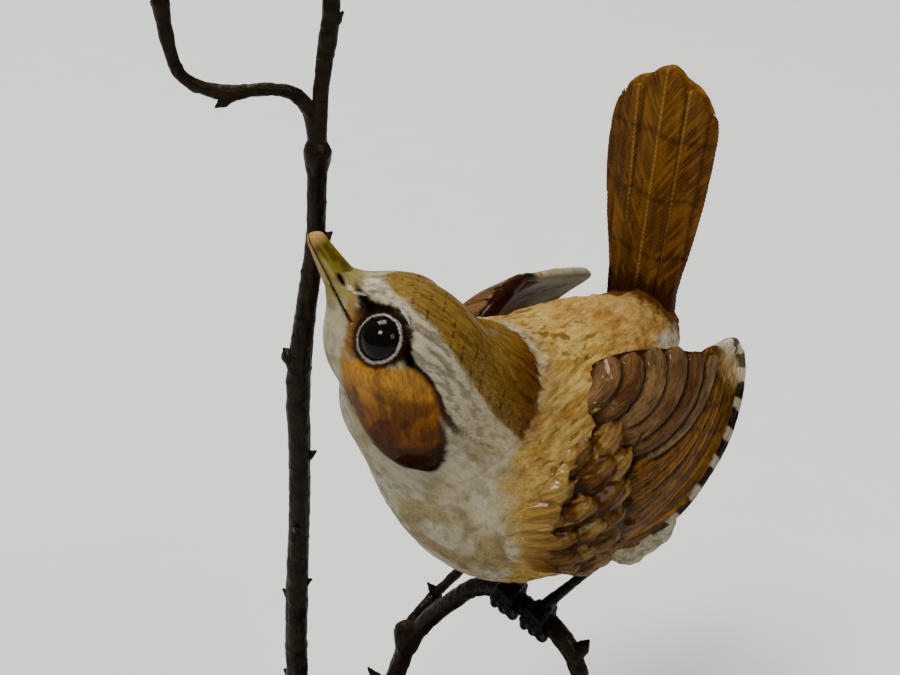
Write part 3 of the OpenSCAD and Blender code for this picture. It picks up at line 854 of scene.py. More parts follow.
def paint_torso(p):
    """Cream breast, gold mantle, rusty rump, from points in the bird's frame."""
    x, y, z = p.T
    flow = p * arr(ALONG, 1, 1)
    soft = fbm(p / 4.5, 3, 41)
    stroke = fbm(flow * 0.75, 3, 43)
    scallop = fbm(p * arr(0.22, 0.42, 0.42), 2, 47)
    # breast and belly
    col = mix(WHITE, WARM_WHITE, step(0.40, 0.66, soft))
    olive = blot(p * arr(0.30, 0.50, 0.50), 4, 49, 0.46, 0.58)
    flank = step(1, 11, np.abs(y)) * step(32, 16, x + 0.5 * z)
    col = mix(col, tint(136, 118, 72), 0.7 * olive * flank)
    fleck = fbm(p * arr(0.5, 1.3, 1.3), 3, 48)
    col = mix(col, tint(112, 92, 56), 0.7 * step(0.56, 0.66, fleck) * (0.25 + 0.75 * flank))
    col = mix(col, GREY, 0.5 * blot(p * 0.55 + 4, 4, 50, 0.52, 0.64))
    col = mix(col, tint(138, 112, 62), 0.75 * step(-9, -19, z) * step(0.35, 0.6, soft + 0.1))
    ink = 0.28 + 0.3 * step(0.5, 0.7, soft)
    # the back
    edge = curve(z, GOLD_EDGE) - 5.0 * step(2, -6, y)
    gold = step(-1.8, 1.8, edge - x + 5.0 * (scallop - 0.5)) * step(-32, -22, z)
    back = mix(GOLD, tint(176, 156, 100), step(0.36, 0.56, scallop))
    back = mix(back, OCHRE, 0.55 * step(0.52, 0.62, stroke))
    dash = fbm(p * arr(0.28, 1.3, 1.3) + 9, 3, 51)
    back = mix(back, tint(112, 78, 34), 0.75 * step(0.58, 0.66, dash))
    back = mix(back, tint(142, 108, 56), 0.5 * step(2, 10, x) * step(12, 20, z) * step(0.4, 0.55, stroke))
    side_gold = step(16, 24, x) * step(22, 14, z)
    back = mix(back, mix(GOLD, tint(166, 138, 78), 0.5), 0.7 * side_gold)
    rump = step(-9, -19, x) * step(6, 12, z)
    red = blot(p * arr(0.34, 0.5, 0.34) + 3, 3, 53, 0.42, 0.62)
    back = mix(back, tint(170, 140, 88), 0.7 * rump)
    back = mix(back, tint(144, 100, 54), 0.5 * rump * red)
    back = mix(back, CREAM * 1.1, 0.6 * rump * step(0.56, 0.7, scallop))
    col = mix(col, back, gold)
    ink = mix(ink, 0.55, gold)
    # below the tail: pale, with a white edge left of the rump
    vent = step(4, -5, z - 2 + 3 * (soft - 0.5)) * step(-12, -20, x)
    col = mix(col, WARM_WHITE, vent)
    pale = step(-22, -26, x) * step(10.4, 12.4, y + 2.5 * (soft - 0.5))
    col = mix(col, WHITE * 1.12, pale)
    tuft = step(2.0, -0.5, flank_field(p))
    col = mix(col, mix(WHITE, GREY, 0.6 * blot(flow * 1.6, 2, 57, 0.5, 0.62)), tuft)
    # dark brushwork round the root of the tail
    root = length((p - arr(-34.5, 1.5, 12)) * arr(1, 0.75, 1))
    fringe = step(8.6, 6.2, root + 3.0 * (fbm(p * arr(0.8, 1.6, 0.8), 2, 59) - 0.5)) * step(5, 9, z)
    col = mix(col, CHESTNUT * 0.7, 0.9 * fringe)
    ridge = fbm(p * arr(0.20, 0.62, 0.62), 3, 61) - 0.5
    swirl = np.abs(fbm(p * 0.30, 2, 63) - 0.5)
    lift = gold * (0.85 * ridge - 2.2 * rump * swirl) + 0.28 * ridge
    return col, ink, lift * step(0, 3, root - 3)


def paint_body(p):
    """Colour, brush-mark strength, stroke coordinates and relief over head and torso."""
    q = to_head(p)
    base, ink, lift = paint_torso(p)
    col, ink, more = paint_head(q, base, ink)
    head_side = step(24, 18, length(q - arr(2, 0, -2)))
    on_cheek = step(2, -2, loop_distance(q[:, 0], q[:, 2], smooth_line(CHEEK, closed=True))[0]) > 0.5
    flow = np.where(on_cheek[:, None], cheek_way(q), q * arr(ALONG, 1, 1))
    torso_flow = p * arr(ALONG, 1, 1) + 40
    flow = np.where((head_side > 0.5)[:, None], flow, torso_flow)
    return col, ink, flow, lift * (1 - head_side) + more * head_side


# the plane where the head's casting meets the torso's
NECK_N = unit(HEAD_AT)
NECK_AT = 28.5


def close_loops(v, faces):
    """Fans over the open edges of a mesh, each round a point a little inside."""
    edges = np.concatenate([faces[:, [i, (i + 1) % 4]] for i in range(4)])
    have = {(int(a), int(b)) for a, b in edges}
    follow = {}
    for a, b in have:
        if (b, a) not in have:
            follow[b] = a
    fans = []
    while follow:
        start, now = next(iter(follow.items()))
        loop = [start]
        del follow[start]
        while now != start:
            loop.append(now)
            now = follow.pop(now)
        v = np.vstack([v, v[loop].mean(0)])
        hub = len(v) - 1
        fans += [(loop[i], loop[(i + 1) % len(loop)], hub) for i in range(len(loop))]
    return v, fans


def split(v, faces, pick):
    """The picked faces as their own mesh, with the rows of v that they use."""
    part = faces[pick]
    used = np.unique(part)
    index = np.full(len(v), -1)
    index[used] = np.arange(len(used))
    return used, index[part]


def build_body():
    """One skin over torso and head, painted and raised as a whole, then cut at the neck."""
    h = 0.32
    v, f = field_mesh(body_field, (-42, -27, -26), (46, 27, 52), h)
    v = settle(body_field, v)
    n = unit(gradient(body_field, v))
    col, ink, flow, lift = paint_body(v)
    v = v + n * lift[:, None]
    n = normals_of(v, f)
    ahead = v[f].mean(1) @ NECK_N > NECK_AT
    for name, pick, node, slot, mat in (
        ("torso", ~ahead, "torso_shell", "body_porcelain", porcelain("body_paint", 1.0)),
        ("head", ahead, "head_shell", "head_porcelain", porcelain("head_paint", 1.0, 1.1)),
    ):
        used, part = split(v, f, pick)
        vv, fans = close_loops(v[used], part)
        extra = len(vv) - len(used)
        nn = np.vstack([n[used], np.tile(NECK_N, (extra, 1))])
        pad = np.concatenate([used, np.full(extra, used[-1])])
        o = make_piece(name, vv, part.tolist() + fans, [node], mat, slot, world=False, normals=nn)
        paint(o, col[pad], ink[pad], flow[pad])


# ---------------------------------------------------------------- feathered sheets


# where a packed chart holds its height, and all its other layers
HEIGHT, LOOKS = slice(0, 1), slice(1, 8)


class Sheet:
    """A chart in millimetres of a feathered surface: relief, colour, brush marks and strokes."""

    def __init__(self, lo, hi, pitch):
        self.lo, self.step = arr(*lo), pitch
        n = [int((hi[i] - lo[i]) / pitch) + 1 for i in (0, 1)]
        self.a, self.b = np.meshgrid(*[lo[i] + pitch * np.arange(n[i]) for i in (0, 1)], indexing="ij")
        self.height = np.zeros(n)
        self.colour = np.zeros(n + [3])
        self.ink = np.zeros(n)
        self.flow = vec(self.a * ALONG, self.b, 0)

    def points(self):
        return vec(self.a, self.b, 0)

    def feather(self, path, half, level, colour, crown=0.35, tip=0.7, ink=0.5, barbs=0.0, seed=0,
                crease_shade=0.45, rag=0.18, soft=0.35):
        """One feather over what is already there.

        path is its root, bend and end, half its half-width, level its height and crown how far it
        bulges. tip is how pointed it is, rag how frayed, and soft how wide its edge is rounded.
        barbs slants its strokes, and the crease shade sets how dark the painted shade is along its outline
        and on what lies under its edge.
        """
        r, m, e = (arr(*k) for k in path)
        t = np.linspace(0, 1, 21)[:, None]
        line = (1 - t) ** 2 * r + 2 * t * (1 - t) * m + t * t * e
        pad = half + 0.6
        i0 = np.maximum(np.floor((line.min(0) - pad - self.lo) / self.step).astype(int), 0)
        i1 = np.ceil((line.max(0) + pad - self.lo) / self.step).astype(int) + 1
        box = (slice(i0[0], i1[0]), slice(i0[1], i1[1]))
        a, b = self.a[box], self.b[box]
        best = np.full(a.shape, 1e9)
        t_at, v_at = np.zeros(a.shape), np.zeros(a.shape)
        size = float(length(np.diff(line, axis=0)).sum())
        run = 0.0
        for p0, p1 in zip(line[:-1], line[1:]):
            ex, ey = p1 - p0
            seg = math.hypot(ex, ey)
            k = ((a - p0[0]) * ex + (b - p0[1]) * ey) / (seg * seg)
            k = np.where(run + seg >= size - 1e-6, np.maximum(k, 0), clamp(k))
            da, db = a - p0[0] - k * ex, b - p0[1] - k * ey
            d = da * da + db * db
            near = d < best
            best = np.where(near, d, best)
            t_at = np.where(near, (run + k * seg) / size, t_at)
            v_at = np.where(near, (ex * db - ey * da) / seg, v_at)
            run += seg
        start = 1 - min(tip * half / size, 0.9)
        w = half * np.sqrt(clamp(1 - (np.maximum(t_at - start, 0) / (1 - start)) ** 2))
        w = w * step(-0.15, 0.22, t_at) ** 0.5
        rough = rag * 2 * (fbm(vec(t_at * size * 0.9, v_at * 0.3, seed), 2, 71) - 0.5)
        gap = w - np.abs(v_at) + rough
        on = gap > 0
        across = v_at / np.maximum(w, 0.3)
        rise = level + crown * (1 - across ** 2) + 0.35 * crown * t_at
        rise = rise - (crown + 0.25) * step(soft, 0.0, gap)
        col, mark = colour(t_at, across, v_at, size, seed)
        # painted shade: the feather darkened along its own outline, as strongly as its crease shade asks
        edge = step(0.55, 0.0, gap)
        col = mix(col, 0.35 * col, crease_shade * edge)
        # the feather's shadow, painted on what lies under its edge
        under = step(-0.75, 0.0, gap) * (~on) * (t_at > 0.12)
        self.colour[box] = mix(self.colour[box], 0.35 * self.colour[box], crease_shade * under)
        self.height[box] -= 0.16 * under
        blend = on.astype(float) * step(0.0, 0.14, t_at)
        self.height[box] = mix(self.height[box], rise, blend)
        self.colour[box] = mix(self.colour[box], col, blend)
        self.ink[box] = mix(self.ink[box], ink * mark, blend)
        run_scale, side_scale = (ALONG, 1.0) if barbs == 0 else (1.0, 0.25)
        flow = vec((t_at * size - barbs * np.abs(v_at)) * run_scale, v_at * side_scale, seed * 7.3)
        pick = blend > 0.5
        self.flow[box][pick] = flow[pick]

    def soften(self, amount, width):
        """Rounds the relief off by averaging it over a square of this width, where amount is 1."""
        n = max(int(width / self.step / 2), 1)
        smooth = self.height
        for _ in range(2):
            for axis in (0, 1):
                pad = [(n + 1, n) if k == axis else (0, 0) for k in (0, 1)]
                total = np.cumsum(np.pad(smooth, pad, "edge"), axis)
                count = smooth.shape[axis]
                far = np.take(total, np.arange(count) + 2 * n + 1, axis)
                smooth = (far - np.take(total, np.arange(count), axis)) / (2 * n + 1)
        self.height = mix(self.height, smooth, amount)

    def pack(self):
        """Gathers the chart's layers into one table that look() reads."""
        layers = [self.height[..., None], self.colour, self.ink[..., None], self.flow]
        self.table = np.concatenate(layers, -1)

    def look(self, a, b, channels=HEIGHT):
        """The chart's layers at places between its points."""
        u = clamp((a - self.lo[0]) / self.step, 0, self.a.shape[0] - 1.001)
        w = clamp((b - self.lo[1]) / self.step, 0, self.a.shape[1] - 1.001)
        i, j = u.astype(int), w.astype(int)
        fu, fw = (u - i)[..., None], (w - j)[..., None]
        g = self.table[..., channels]
        return ((g[i, j] * (1 - fu) + g[i + 1, j] * fu) * (1 - fw)
                + (g[i, j + 1] * (1 - fu) + g[i + 1, j + 1] * fu) * fw)


def plain(base, dark=0.6, shaft=0.25):
    """A feather's colour: darker toward its edges, a fine line along its shaft."""
    def colour(t, across, v, size, seed):
        k = vec(t * size * 0.25, v * 1.3, seed)
        c = mix(base, dark * base, 0.75 * step(0.25, 1.0, np.abs(across)))
        c = mix(c, 0.55 * base, blot(k, 3, 73, 0.48, 0.70))
        c = mix(c, 1.30 * base, 0.6 * blot(k, 3, 73, 0.45, 0.28))
        c = mix(c, 0.5 * base, shaft * step(0.16, 0.05, np.abs(v)))
        return c, np.ones(t.shape)
    return colour


def barred(base, bar, period=4.6, dark_edge=0.3):
    """A flight feather: fine lengthwise streaks and broken dark bars."""
    def colour(t, across, v, size, seed):
        k = vec(t * size * 0.14, v * 2.4, seed)
        c = mix(base, 0.50 * base, blot(k, 3, 75, 0.48, 0.60))
        c = mix(c, 1.35 * base, 0.7 * blot(k, 3, 75, 0.46, 0.34))
        wave = np.abs((t * size / period + 0.37 * seed) % 1.0 - 0.5) * 2
        rough = fbm(vec(t * size * 0.6, v * 1.1, seed), 2, 77) - 0.5
        c = mix(c, bar, 0.45 * step(0.62, 0.86, wave + 1.1 * rough))
        c = mix(c, 0.45 * base, dark_edge * step(0.6, 1.0, across))
        return c, np.ones(t.shape)
    return colour


def lobed(base, core):
    """A covert: tan in the middle, dark and soft round the edge."""
    def colour(t, across, v, size, seed):
        k = vec(t * size * 0.7, v * 0.9, seed)
        r = np.hypot((t - 0.66) * 2.2, across * 0.8) + 1.3 * (fbm(k, 3, 79) - 0.5)
        c = mix(core, base, step(0.40, 0.95, r))
        c = mix(c, 0.5 * base, 0.4 * step(0.85, 1.2, r))
        c = mix(c, 0.45 * c, 0.8 * blot(k * arr(0.4, 2.6, 1), 3, 78, 0.50, 0.60))
        return c, np.ones(t.shape)
    return colour


def scapular(base):
    """A golden scapular: streaked, a little browner toward its rounded end."""
    def colour(t, across, v, size, seed):
        k = vec(t * size * 0.3, v * 1.5, seed)
        c = mix(base, 0.60 * base, blot(k, 3, 80, 0.48, 0.66))
        c = mix(c, 1.30 * base, 0.7 * blot(k, 3, 80, 0.46, 0.32))
        c = mix(c, 0.62 * base, 0.6 * step(0.80, 1.0, t + 0.3 * (fbm(k, 2, 82) - 0.5)))
        return c, np.ones(t.shape)
    return colour


# ---------------------------------------------------------------- wings

# millimetres of chart for each radian round the bird
WING_BEND = 26.0
# as in the CAD: the arc that is turned about the bird's x, by its radius, place along x and height
LEFT_BARREL = (87.3, -16.5, -61.3)
RIGHT_BARREL = (58.3, -7.7, -33.3)
# the right wing is held a little higher, and is seen a little longer
RIGHT_LIFT = 1.8
RIGHT_STRETCH = 0.93

# the wing laid flat: (ahead, up round the body)
WING_BACK = ((1, -24.8), (-4.0, -22), (-8.6, -17.2), (-12.9, -12.0), (-17.4, -7.7), (-22, -4.4),
             (-26.6, -1.2), (-31, 2.6), (-34.6, 6.8), (-36.6, 10.8), (-35.8, 13.8))
WING_TOP = ((-31.5, 15.2), (-25.5, 17.0), (-20.6, 19.8), (-15.8, 22.9), (-9, 26.6), (-2.5, 29.2),
            (3, 29.2))
WING_LEAD = ((9, 27.2), (15, 23.5), (20.5, 18.8), (24.8, 13), (26.5, 6), (25.3, -5), (21.5, -14),
             (15, -21), (8, -24.8))
WING_LOOP = smooth_line(WING_BACK + WING_TOP + WING_LEAD, closed=True, steps=4)
WING_FRONT = smooth_line(WING_TOP[-1:] + WING_LEAD + ((1, -25.2), (-3, -24)), steps=4)
WING_EDGE = smooth_line(((5, -25.6),) + WING_BACK + WING_TOP[:1], steps=4)
# each tertial's root, bend, end and half-width, from the lowest
TERTIALS = (
    ((2.0, 9.6), (-15.5, 6.6), (-26.8, 14.6), 1.7), ((4.0, 12.4), (-14.5, 9.2), (-22.0, 18.0), 2.3),
    ((4.5, 15.4), (-11.5, 12.8), (-17.8, 21.2), 2.5), ((4.0, 18.4), (-8.0, 16.2), (-12.6, 23.8), 2.4),
    ((6.0, 21.6), (-2.5, 19.8), (-7.6, 25.6), 2.5), ((7.0, 24.8), (0.5, 23.2), (-3.2, 27.8), 2.3))
# each row of small coverts: how far ahead it lies, how it bows, and how many it has
COVERT_ROWS = ((9.5, 2.0, 7), (14.5, 1.5, 6), (19.0, 0.8, 5))
COVERT_LINE = ((-22, 0), (-10, 4.5), (5, 5.5), (18, 3))
# each lobe of the golden scapular edge: its end and half-width, from the top
LOBES = ((5.4, 27.4, 3.4), (8.2, 23.4, 3.6), (12.0, 20.2, 3.6), (15.2, 16.8, 3.2), (17.2, 14.2, 2.8),
         (19.4, 10.4, 3.2), (21.4, 6.4, 2.8), (20.6, 2.6, 2.6), (21.6, -2.2, 3.0), (20.8, -7.2, 3.0),
         (19.0, -12.0, 3.0))
PRIMARIES, LONG_COVERTS = 10, 8
RIM_PERIOD = 6.0


def lerp(a, b, t):
    return tuple(arr(*a) + (arr(*b) - arr(*a)) * t)


def straight(root, end):
    """The path of a feather that doesn't bend."""
    return root, lerp(root, end, 0.5), end


def wing_sheet():
    """Every feather of a wing, laid from the outermost inward."""
    s = Sheet((-40, -30), (34, 37), 0.12)
    p = s.points()
    s.colour[:] = mix(CHOCOLATE, UMBER, fbm(p * 0.5, 3, 81))
    s.height[:] = -0.2
    s.ink[:] = 0.5
    golden = tint(142, 104, 22)
    # flight feathers, the outermost first, all running together at the wing's tip
    for k in range(PRIMARIES):
        u = 1 - k / (PRIMARIES - 1)
        root = (7.5 - 2.0 * u, 6.5 - 30.0 * u)
        bend = lerp((-15.5, 5.5), (-18.5, -10.5), u)
        end = lerp((-28.5, 15.8), (-35.8, 11.4), u ** 0.8)
        base = mix(golden, tint(106, 70, 8), 0.5 * (k % 2) + 0.2 * u)
        s.feather((root, bend, end), 2.7 - 0.4 * u, 0.05 * k, barred(base, tint(60, 34, 6), 5.6),
                  crown=0.12, ink=0.8, seed=100 + k, crease_shade=0.28, tip=1.6)
    # tertials: each one's lower edge makes a deep furrow over the next, darkened with painted shade
    for k, (root, bend, end, half) in enumerate(TERTIALS):
        base = mix(TAUPE, tint(100, 68, 38), 0.35 + 0.3 * ((k * 5) % 3 - 1))
        s.feather((root, bend, end), half, 0.55 + 0.34 * k, plain(base, 0.70), crown=0.34, tip=0.9,
                  ink=0.8, seed=120 + k, crease_shade=0.85, soft=0.6)
    # coverts: long ones over the flight feathers' roots, then rows of soft round ones
    for k in range(LONG_COVERTS):
        u = k / (LONG_COVERTS - 1)
        end = (2.6 + 3.4 * math.sin(3.0 * u) + 0.8 * math.sin(5 * k), 18.0 - 39 * u)
        root = (end[0] + 9.5, end[1] - 4.0 + 3.0 * u)
        s.feather(straight(root, end), 3.0, 1.0 + 0.03 * k, lobed(tint(100, 72, 34), tint(142, 116, 70)),
                  crown=0.6, tip=1.2, ink=0.65, seed=140 + k, crease_shade=0.0, rag=0.5, soft=2.4)
    for row, (x0, drop, count) in enumerate(COVERT_ROWS):
        for k in range(count):
            u = (k + 0.5 * (row % 2)) / (count - 0.5)
            end = (x0 - drop * math.sin(3.0 * u) + 1.5 * math.sin(5 * k + row),
                   19.5 - 2.5 * row - (39 - 6 * row) * u)
            root = (end[0] + 7.0, end[1] - 2.0)
            core = mix(tint(142, 116, 72), tint(112, 84, 46), 0.5 + 0.5 * math.sin(7 * k + 3 * row))
            s.feather(straight(root, end), 2.9 + 0.5 * math.sin(3 * k), 1.15 + 0.22 * row,
                      lobed(tint(98, 68, 32), core), crown=0.85, tip=1.1, ink=0.65,
                      seed=160 + 10 * row + k, crease_shade=0.0, rag=0.6, soft=2.6)
    s.soften(0.9 * step(-1.5, 1.5, s.a - curve(s.b, COVERT_LINE)), 1.6)
    # the scapular edge: one golden mass in lobes that overhang the coverts
    for k, (x, y, half) in enumerate(LOBES):
        root = (x + 11.0, y + 4.0 - 0.5 * k)
        brown = 0.2 + 0.2 * math.sin(4.0 * k) + 0.11 * max(k - 3, 0)
        base = mix(tint(168, 144, 90), tint(130, 100, 48), brown)
        s.feather(straight(root, (x, y)), half + 1.5, 1.95, scapular(base), crown=0.4,
                  tip=1.1, ink=0.8, seed=200 + k, crease_shade=0.04, rag=0.9, soft=2.4)
    s.soften(0.85 * step(5, 8, s.a), 1.2)
    # the shoulder sinks into the body
    front, _ = polyline_distance(s.a, s.b, WING_FRONT)
    s.height -= 4.6 * step(7.5, 0, front) ** 1.5
    # the outer edge stands away from the body, black and white, with a cream tip
    edge, where = polyline_distance(s.a, s.b, WING_EDGE)
    s.height += 2.6 * step(6.5, 0, edge) * step(1, 9, where)
    wave = (where / RIM_PERIOD + 0.15) % 1.0
    rough = fbm(p * 0.9, 2, 87) - 0.5
    white = step(0.50, 0.58, wave + 0.25 * rough) * step(1.0, 0.93, wave)
    rim = step(3.4, 2.5, edge + 1.4 * rough)
    s.colour = mix(s.colour, mix(SEPIA * 1.3, WHITE * 0.95, white), 0.92 * rim * step(3, 6, where))
    tip = step(9.0, 3.5, np.hypot(s.a + 34.5, s.b - 12.5) + 3 * rough)
    cream = mix(CREAM * 1.15, WHITE * 1.35, step(5, 1, edge))
    s.colour = mix(s.colour, cream, tip * (1 - 0.85 * rim * (1 - white)))
    s.pack()
    return s


def barrel_radius(b, x):
    """How far a barrel's surface is from the bird's x at a place along it."""
    return b[2] + np.sqrt(np.maximum(b[0] ** 2 - (x - b[1]) ** 2, 1))


def wing_place(p, side):
    """Where a point is over a wing: ahead, round the body, and out from the wing's mean surface."""
    lift = RIGHT_LIFT if side < 0 else 0.0
    y, z = p[..., 1] * side, p[..., 2] - lift
    r = barrel_radius(LEFT_BARREL if side > 0 else RIGHT_BARREL, p[..., 0])
    rho = np.hypot(y, z)
    turn = np.arctan2(z, y)
    if side < 0:
        across = np.abs(turn) < math.pi / 2
        same = np.arcsin(clamp(np.sin(turn) * r / barrel_radius(LEFT_BARREL, p[..., 0]), -1, 1))
        turn = np.where(across, same, turn)
    return p[..., 0] * (RIGHT_STRETCH if side < 0 else 1), turn * WING_BEND, rho - r


def build_wings():
    """Two wings from one chart, each bent round its own barrel."""
    sheet = wing_sheet()
    h = 0.29
    skin_at = 0.25
    outline = Sheet((-40, -30), (32, 35), 0.25)
    outline.height = loop_distance(outline.a, outline.b, WING_LOOP)[0]
    outline.pack()
    mat = porcelain("wing_paint", 1.0, 1.25, 0.36)
    for name, side in (("left_wing", 1), ("right_wing", -1)):
        def field(p):
            a, b, out = wing_place(p, side)
            out = out - skin_at
            rim = outline.look(a, b)[..., 0]
            relief = sheet.look(a, b)[..., 0]
            if side < 0:
                relief = mix(relief, 1.2 + 0.15 * relief, step(-7, -1.5, rim) * step(2, 8, b))
            top = out - relief
            # thin and free behind, solid down into the body ahead
            deep = 0.8 + 0.9 * step(-22, -8, a) + 3.5 * step(-2, 8, a)
            slab = -smin(-top, out + deep, 0.5)
            return -smin(-slab, -rim, 1.1)

        lo, hi = ((-40, -8, -27), (30, 28, 30)) if side > 0 else ((-40, -28, -23), (30, 8, 32))
        v, f = field_mesh(field, lo, hi, h, 1.8)
        v = settle(field, v, 2, 0.08)
        a, b, out = wing_place(v, side)
        inner = step(-0.9, -1.25, out - skin_at - sheet.look(a, b)[..., 0])
        info = sheet.look(a, b, LOOKS)
        col, ink, flow = info[:, :3], info[:, 3], info[:, 4:]
        # the plain inner face, its pale paint darkened with painted shade, and the right wing's pale barred
        # end
        inner_face_shaded = mix(WHITE * 0.55, GREY * 0.6, blot(vec(a * 0.25, b * 1.4, 0), 2, 91, 0.4, 0.6))
        inner_face_shaded = mix(inner_face_shaded, tint(128, 92, 58), step(-27, -22, a + 3 * (noise(v * 0.4, 92) - 0.5)))
        col, ink = mix(col, inner_face_shaded, inner), mix(ink, 0.3, inner)
        if side < 0:
            rim = outline.look(a, b)[..., 0]
            end = step(-21, -25, a) * step(5, 9, b) * step(-4.5, -2.0, rim + 1.5 * noise(v * 0.6, 95))
            buff = blot(v * 0.6, 3, 94, 0.47, 0.60) * (1 - inner)
            col = mix(col, mix(tint(160, 155, 136), tint(158, 124, 66), buff), end)
        # the shoulder takes the body's own paint
        body_col, body_ink, body_flow, _ = paint_body(v)
        front = step(2.8, 0.8, polyline_distance(a, b, WING_FRONT)[0] + 1.6 * (fbm(v * 0.4, 2, 93) - 0.5))
        col, ink = mix(col, body_col, front), mix(ink, body_ink, front)
        flow = np.where(front[:, None] > 0.5, body_flow, flow)
        o = make_piece(name, v, f, [name], mat, "wing_porcelain", world=False)
        paint(o, col, ink, flow)


# ---------------------------------------------------------------- tail

# as in the CAD: where the tail leaves the rump, how far it leans, and the radius it is bowed to
TAIL_ROOT = arr(-34.5, 1.5, 11.0)
TAIL_LEAN = 4.0
TAIL_BOW = 34.0
TAIL_LOOP = smooth_line((
    (-6.6, -3), (-6.9, 4), (-8.0, 12), (-10.0, 22), (-10.9, 32), (-10.3, 39.5), (-8.2, 45),
    (-5.2, 48.2), (-3.0, 49.3), (-1.2, 50.7), (1.2, 51.8), (3.4, 50.9), (4.9, 50.2), (7.4, 48.6),
    (9.8, 45.4), (11.0, 41), (10.9, 34), (10.3, 26), (8.9, 15), (7.4, 6), (7.0, -3)),
    closed=True, steps=4)
TAIL_BARS = (14.5, 26.3, 38.6)
# each tail feather's root, end, half-width and how brown it is, from the undermost
TAIL_FEATHERS = (
    (-4.6, (-7.6, 43.6), 3.4, 0.65), (5.0, (8.2, 44.6), 3.5, 0.8), (-3.2, (-4.6, 46.8), 3.6, 0.3),
    (3.4, (5.8, 48.2), 3.9, 0.5), (-0.4, (1.2, 51.4), 4.1, 0.2))
TAIL_GOLD, TAIL_BROWN, BARB_BROWN = tint(138, 102, 42), tint(116, 80, 26), tint(74, 36, 8)
BARB_PITCH = 0.95


def web(base):
    """A tail feather: slanting barbs in patches, and a pale shaft between two dark lines."""
    def colour(t, across, v, size, seed):
        along, off = t * size, np.abs(v)
        k = vec((along - 1.7 * off) * 1.1, v * 0.3, seed)
        barb = along - 1.5 * off + 0.5 * fbm(k * 0.5, 2, 94)
        barb = 0.5 + 0.5 * np.sin(2 * math.pi * barb / BARB_PITCH)
        patch = blot(vec(along * 0.16, v * 0.35, seed), 3, 96, 0.38, 0.58)
        c = mix(base, BARB_BROWN, barb * (0.15 + 0.70 * patch))
        c = mix(c, 0.6 * c, 0.7 * blot(vec(along * 0.1, v * 1.6, seed), 3, 92, 0.46, 0.60))
        c = mix(c, 1.3 * base, 0.7 * blot(k, 3, 95, 0.46, 0.34))
        c = mix(c, tint(158, 122, 66), 0.75 * step(0.32, 0.14, off))
        c = mix(c, 0.55 * base, 0.7 * step(0.30, 0.42, off) * step(0.62, 0.46, off))
        c = mix(c, 0.6 * base, 0.6 * step(0.8, 1.0, np.abs(across)))
        return c, np.ones(t.shape)
    return colour


def tail_sheet():
    """Five tail feathers, their barbs, three broken bars and a dark foot."""
    s = Sheet((-14, -5), (14, 53), 0.1)
    p = s.points()
    s.colour[:] = TAIL_GOLD
    s.ink[:] = 0.4
    for k, (root, end, half, brown) in enumerate(TAIL_FEATHERS):
        s.feather(straight((root, -6), end), half, 0.22 * k, web(mix(TAIL_GOLD, TAIL_BROWN, brown)),
                  crown=0.22, tip=1.3, ink=0.45, barbs=1.7, seed=300 + k, crease_shade=0.35)
    s.height += 0.13 * np.sin(2 * math.pi * s.flow[..., 0] / BARB_PITCH)
    wander = 3.0 * (fbm(p * arr(0.30, 0.05, 1), 3, 98) - 0.5)
    for z in TAIL_BARS:
        line = np.abs(s.b - z - wander) + 1.3 * (fbm(p * arr(0.9, 0.4, 1), 3, 97) - 0.4)
        s.colour = mix(s.colour, 0.35 * s.colour, 0.6 * step(0.95, 0.15, line))
    low = step(11.5, 6.5, s.b + 5.0 * (fbm(p * arr(1.3, 0.25, 1), 3, 99) - 0.5))
    s.colour = mix(s.colour, tint(56, 24, 3), 0.8 * low)
    s.pack()
    return s


def build_tail():
    """The chart bowed round its cylinder, with the same relief before and behind."""
    s = tail_sheet()
    outline = Sheet((-14, -6), (14, 53), 0.2)
    outline.height = loop_distance(outline.a, outline.b, TAIL_LOOP)[0]
    outline.pack()
    turn = rot("Y", -TAIL_LEAN)

    def place(p):
        q = (p - TAIL_ROOT) @ turn
        return q[..., 1], q[..., 2], np.hypot(q[..., 0] + TAIL_BOW, q[..., 1]) - TAIL_BOW

    def field(p):
        y, z, out = place(p)
        root = 0.35 * step(12, 0, z)
        skin = np.where(out > 0, out - 0.75 - root, -out - 0.95 - root)
        skin = skin - (s.look(y, z)[..., 0] - 0.45)
        return -smin(-skin, -outline.look(y, z)[..., 0], 0.9)

    h = 0.22
    v, f = field_mesh(field, (-46, -12, 2), (-28, 15, 66), h, 1.8)
    v = settle(field, v, 2, 0.08)
    y, z, out = place(v)
    info = s.look(y, z, LOOKS)
    mat = porcelain("tail_paint", 0.6, 1.3, 0.36)
    o = make_piece("tail", v, f, ["tail"], mat, "tail_porcelain", world=False)
    paint(o, info[:, :3], info[:, 3], info[:, 4:])


# ---------------------------------------------------------------- bill and eyes


def loft(sections):
    """Quads over rings of equal size, closed at both ends by a fan's worth of one face."""
    n, m = len(sections), len(sections[0])
    v = np.concatenate(sections)
    f = [(i * m + k, i * m + (k + 1) % m, (i + 1) * m + (k + 1) % m, (i + 1) * m + k)
         for i in range(n - 1) for k in range(m)]
    f.append(tuple(range(m))[::-1])
    f.append(tuple((n - 1) * m + k for k in range(m)))
    return v, f


BILL_LEN = 10.6
BILL_BURIED = 2.4


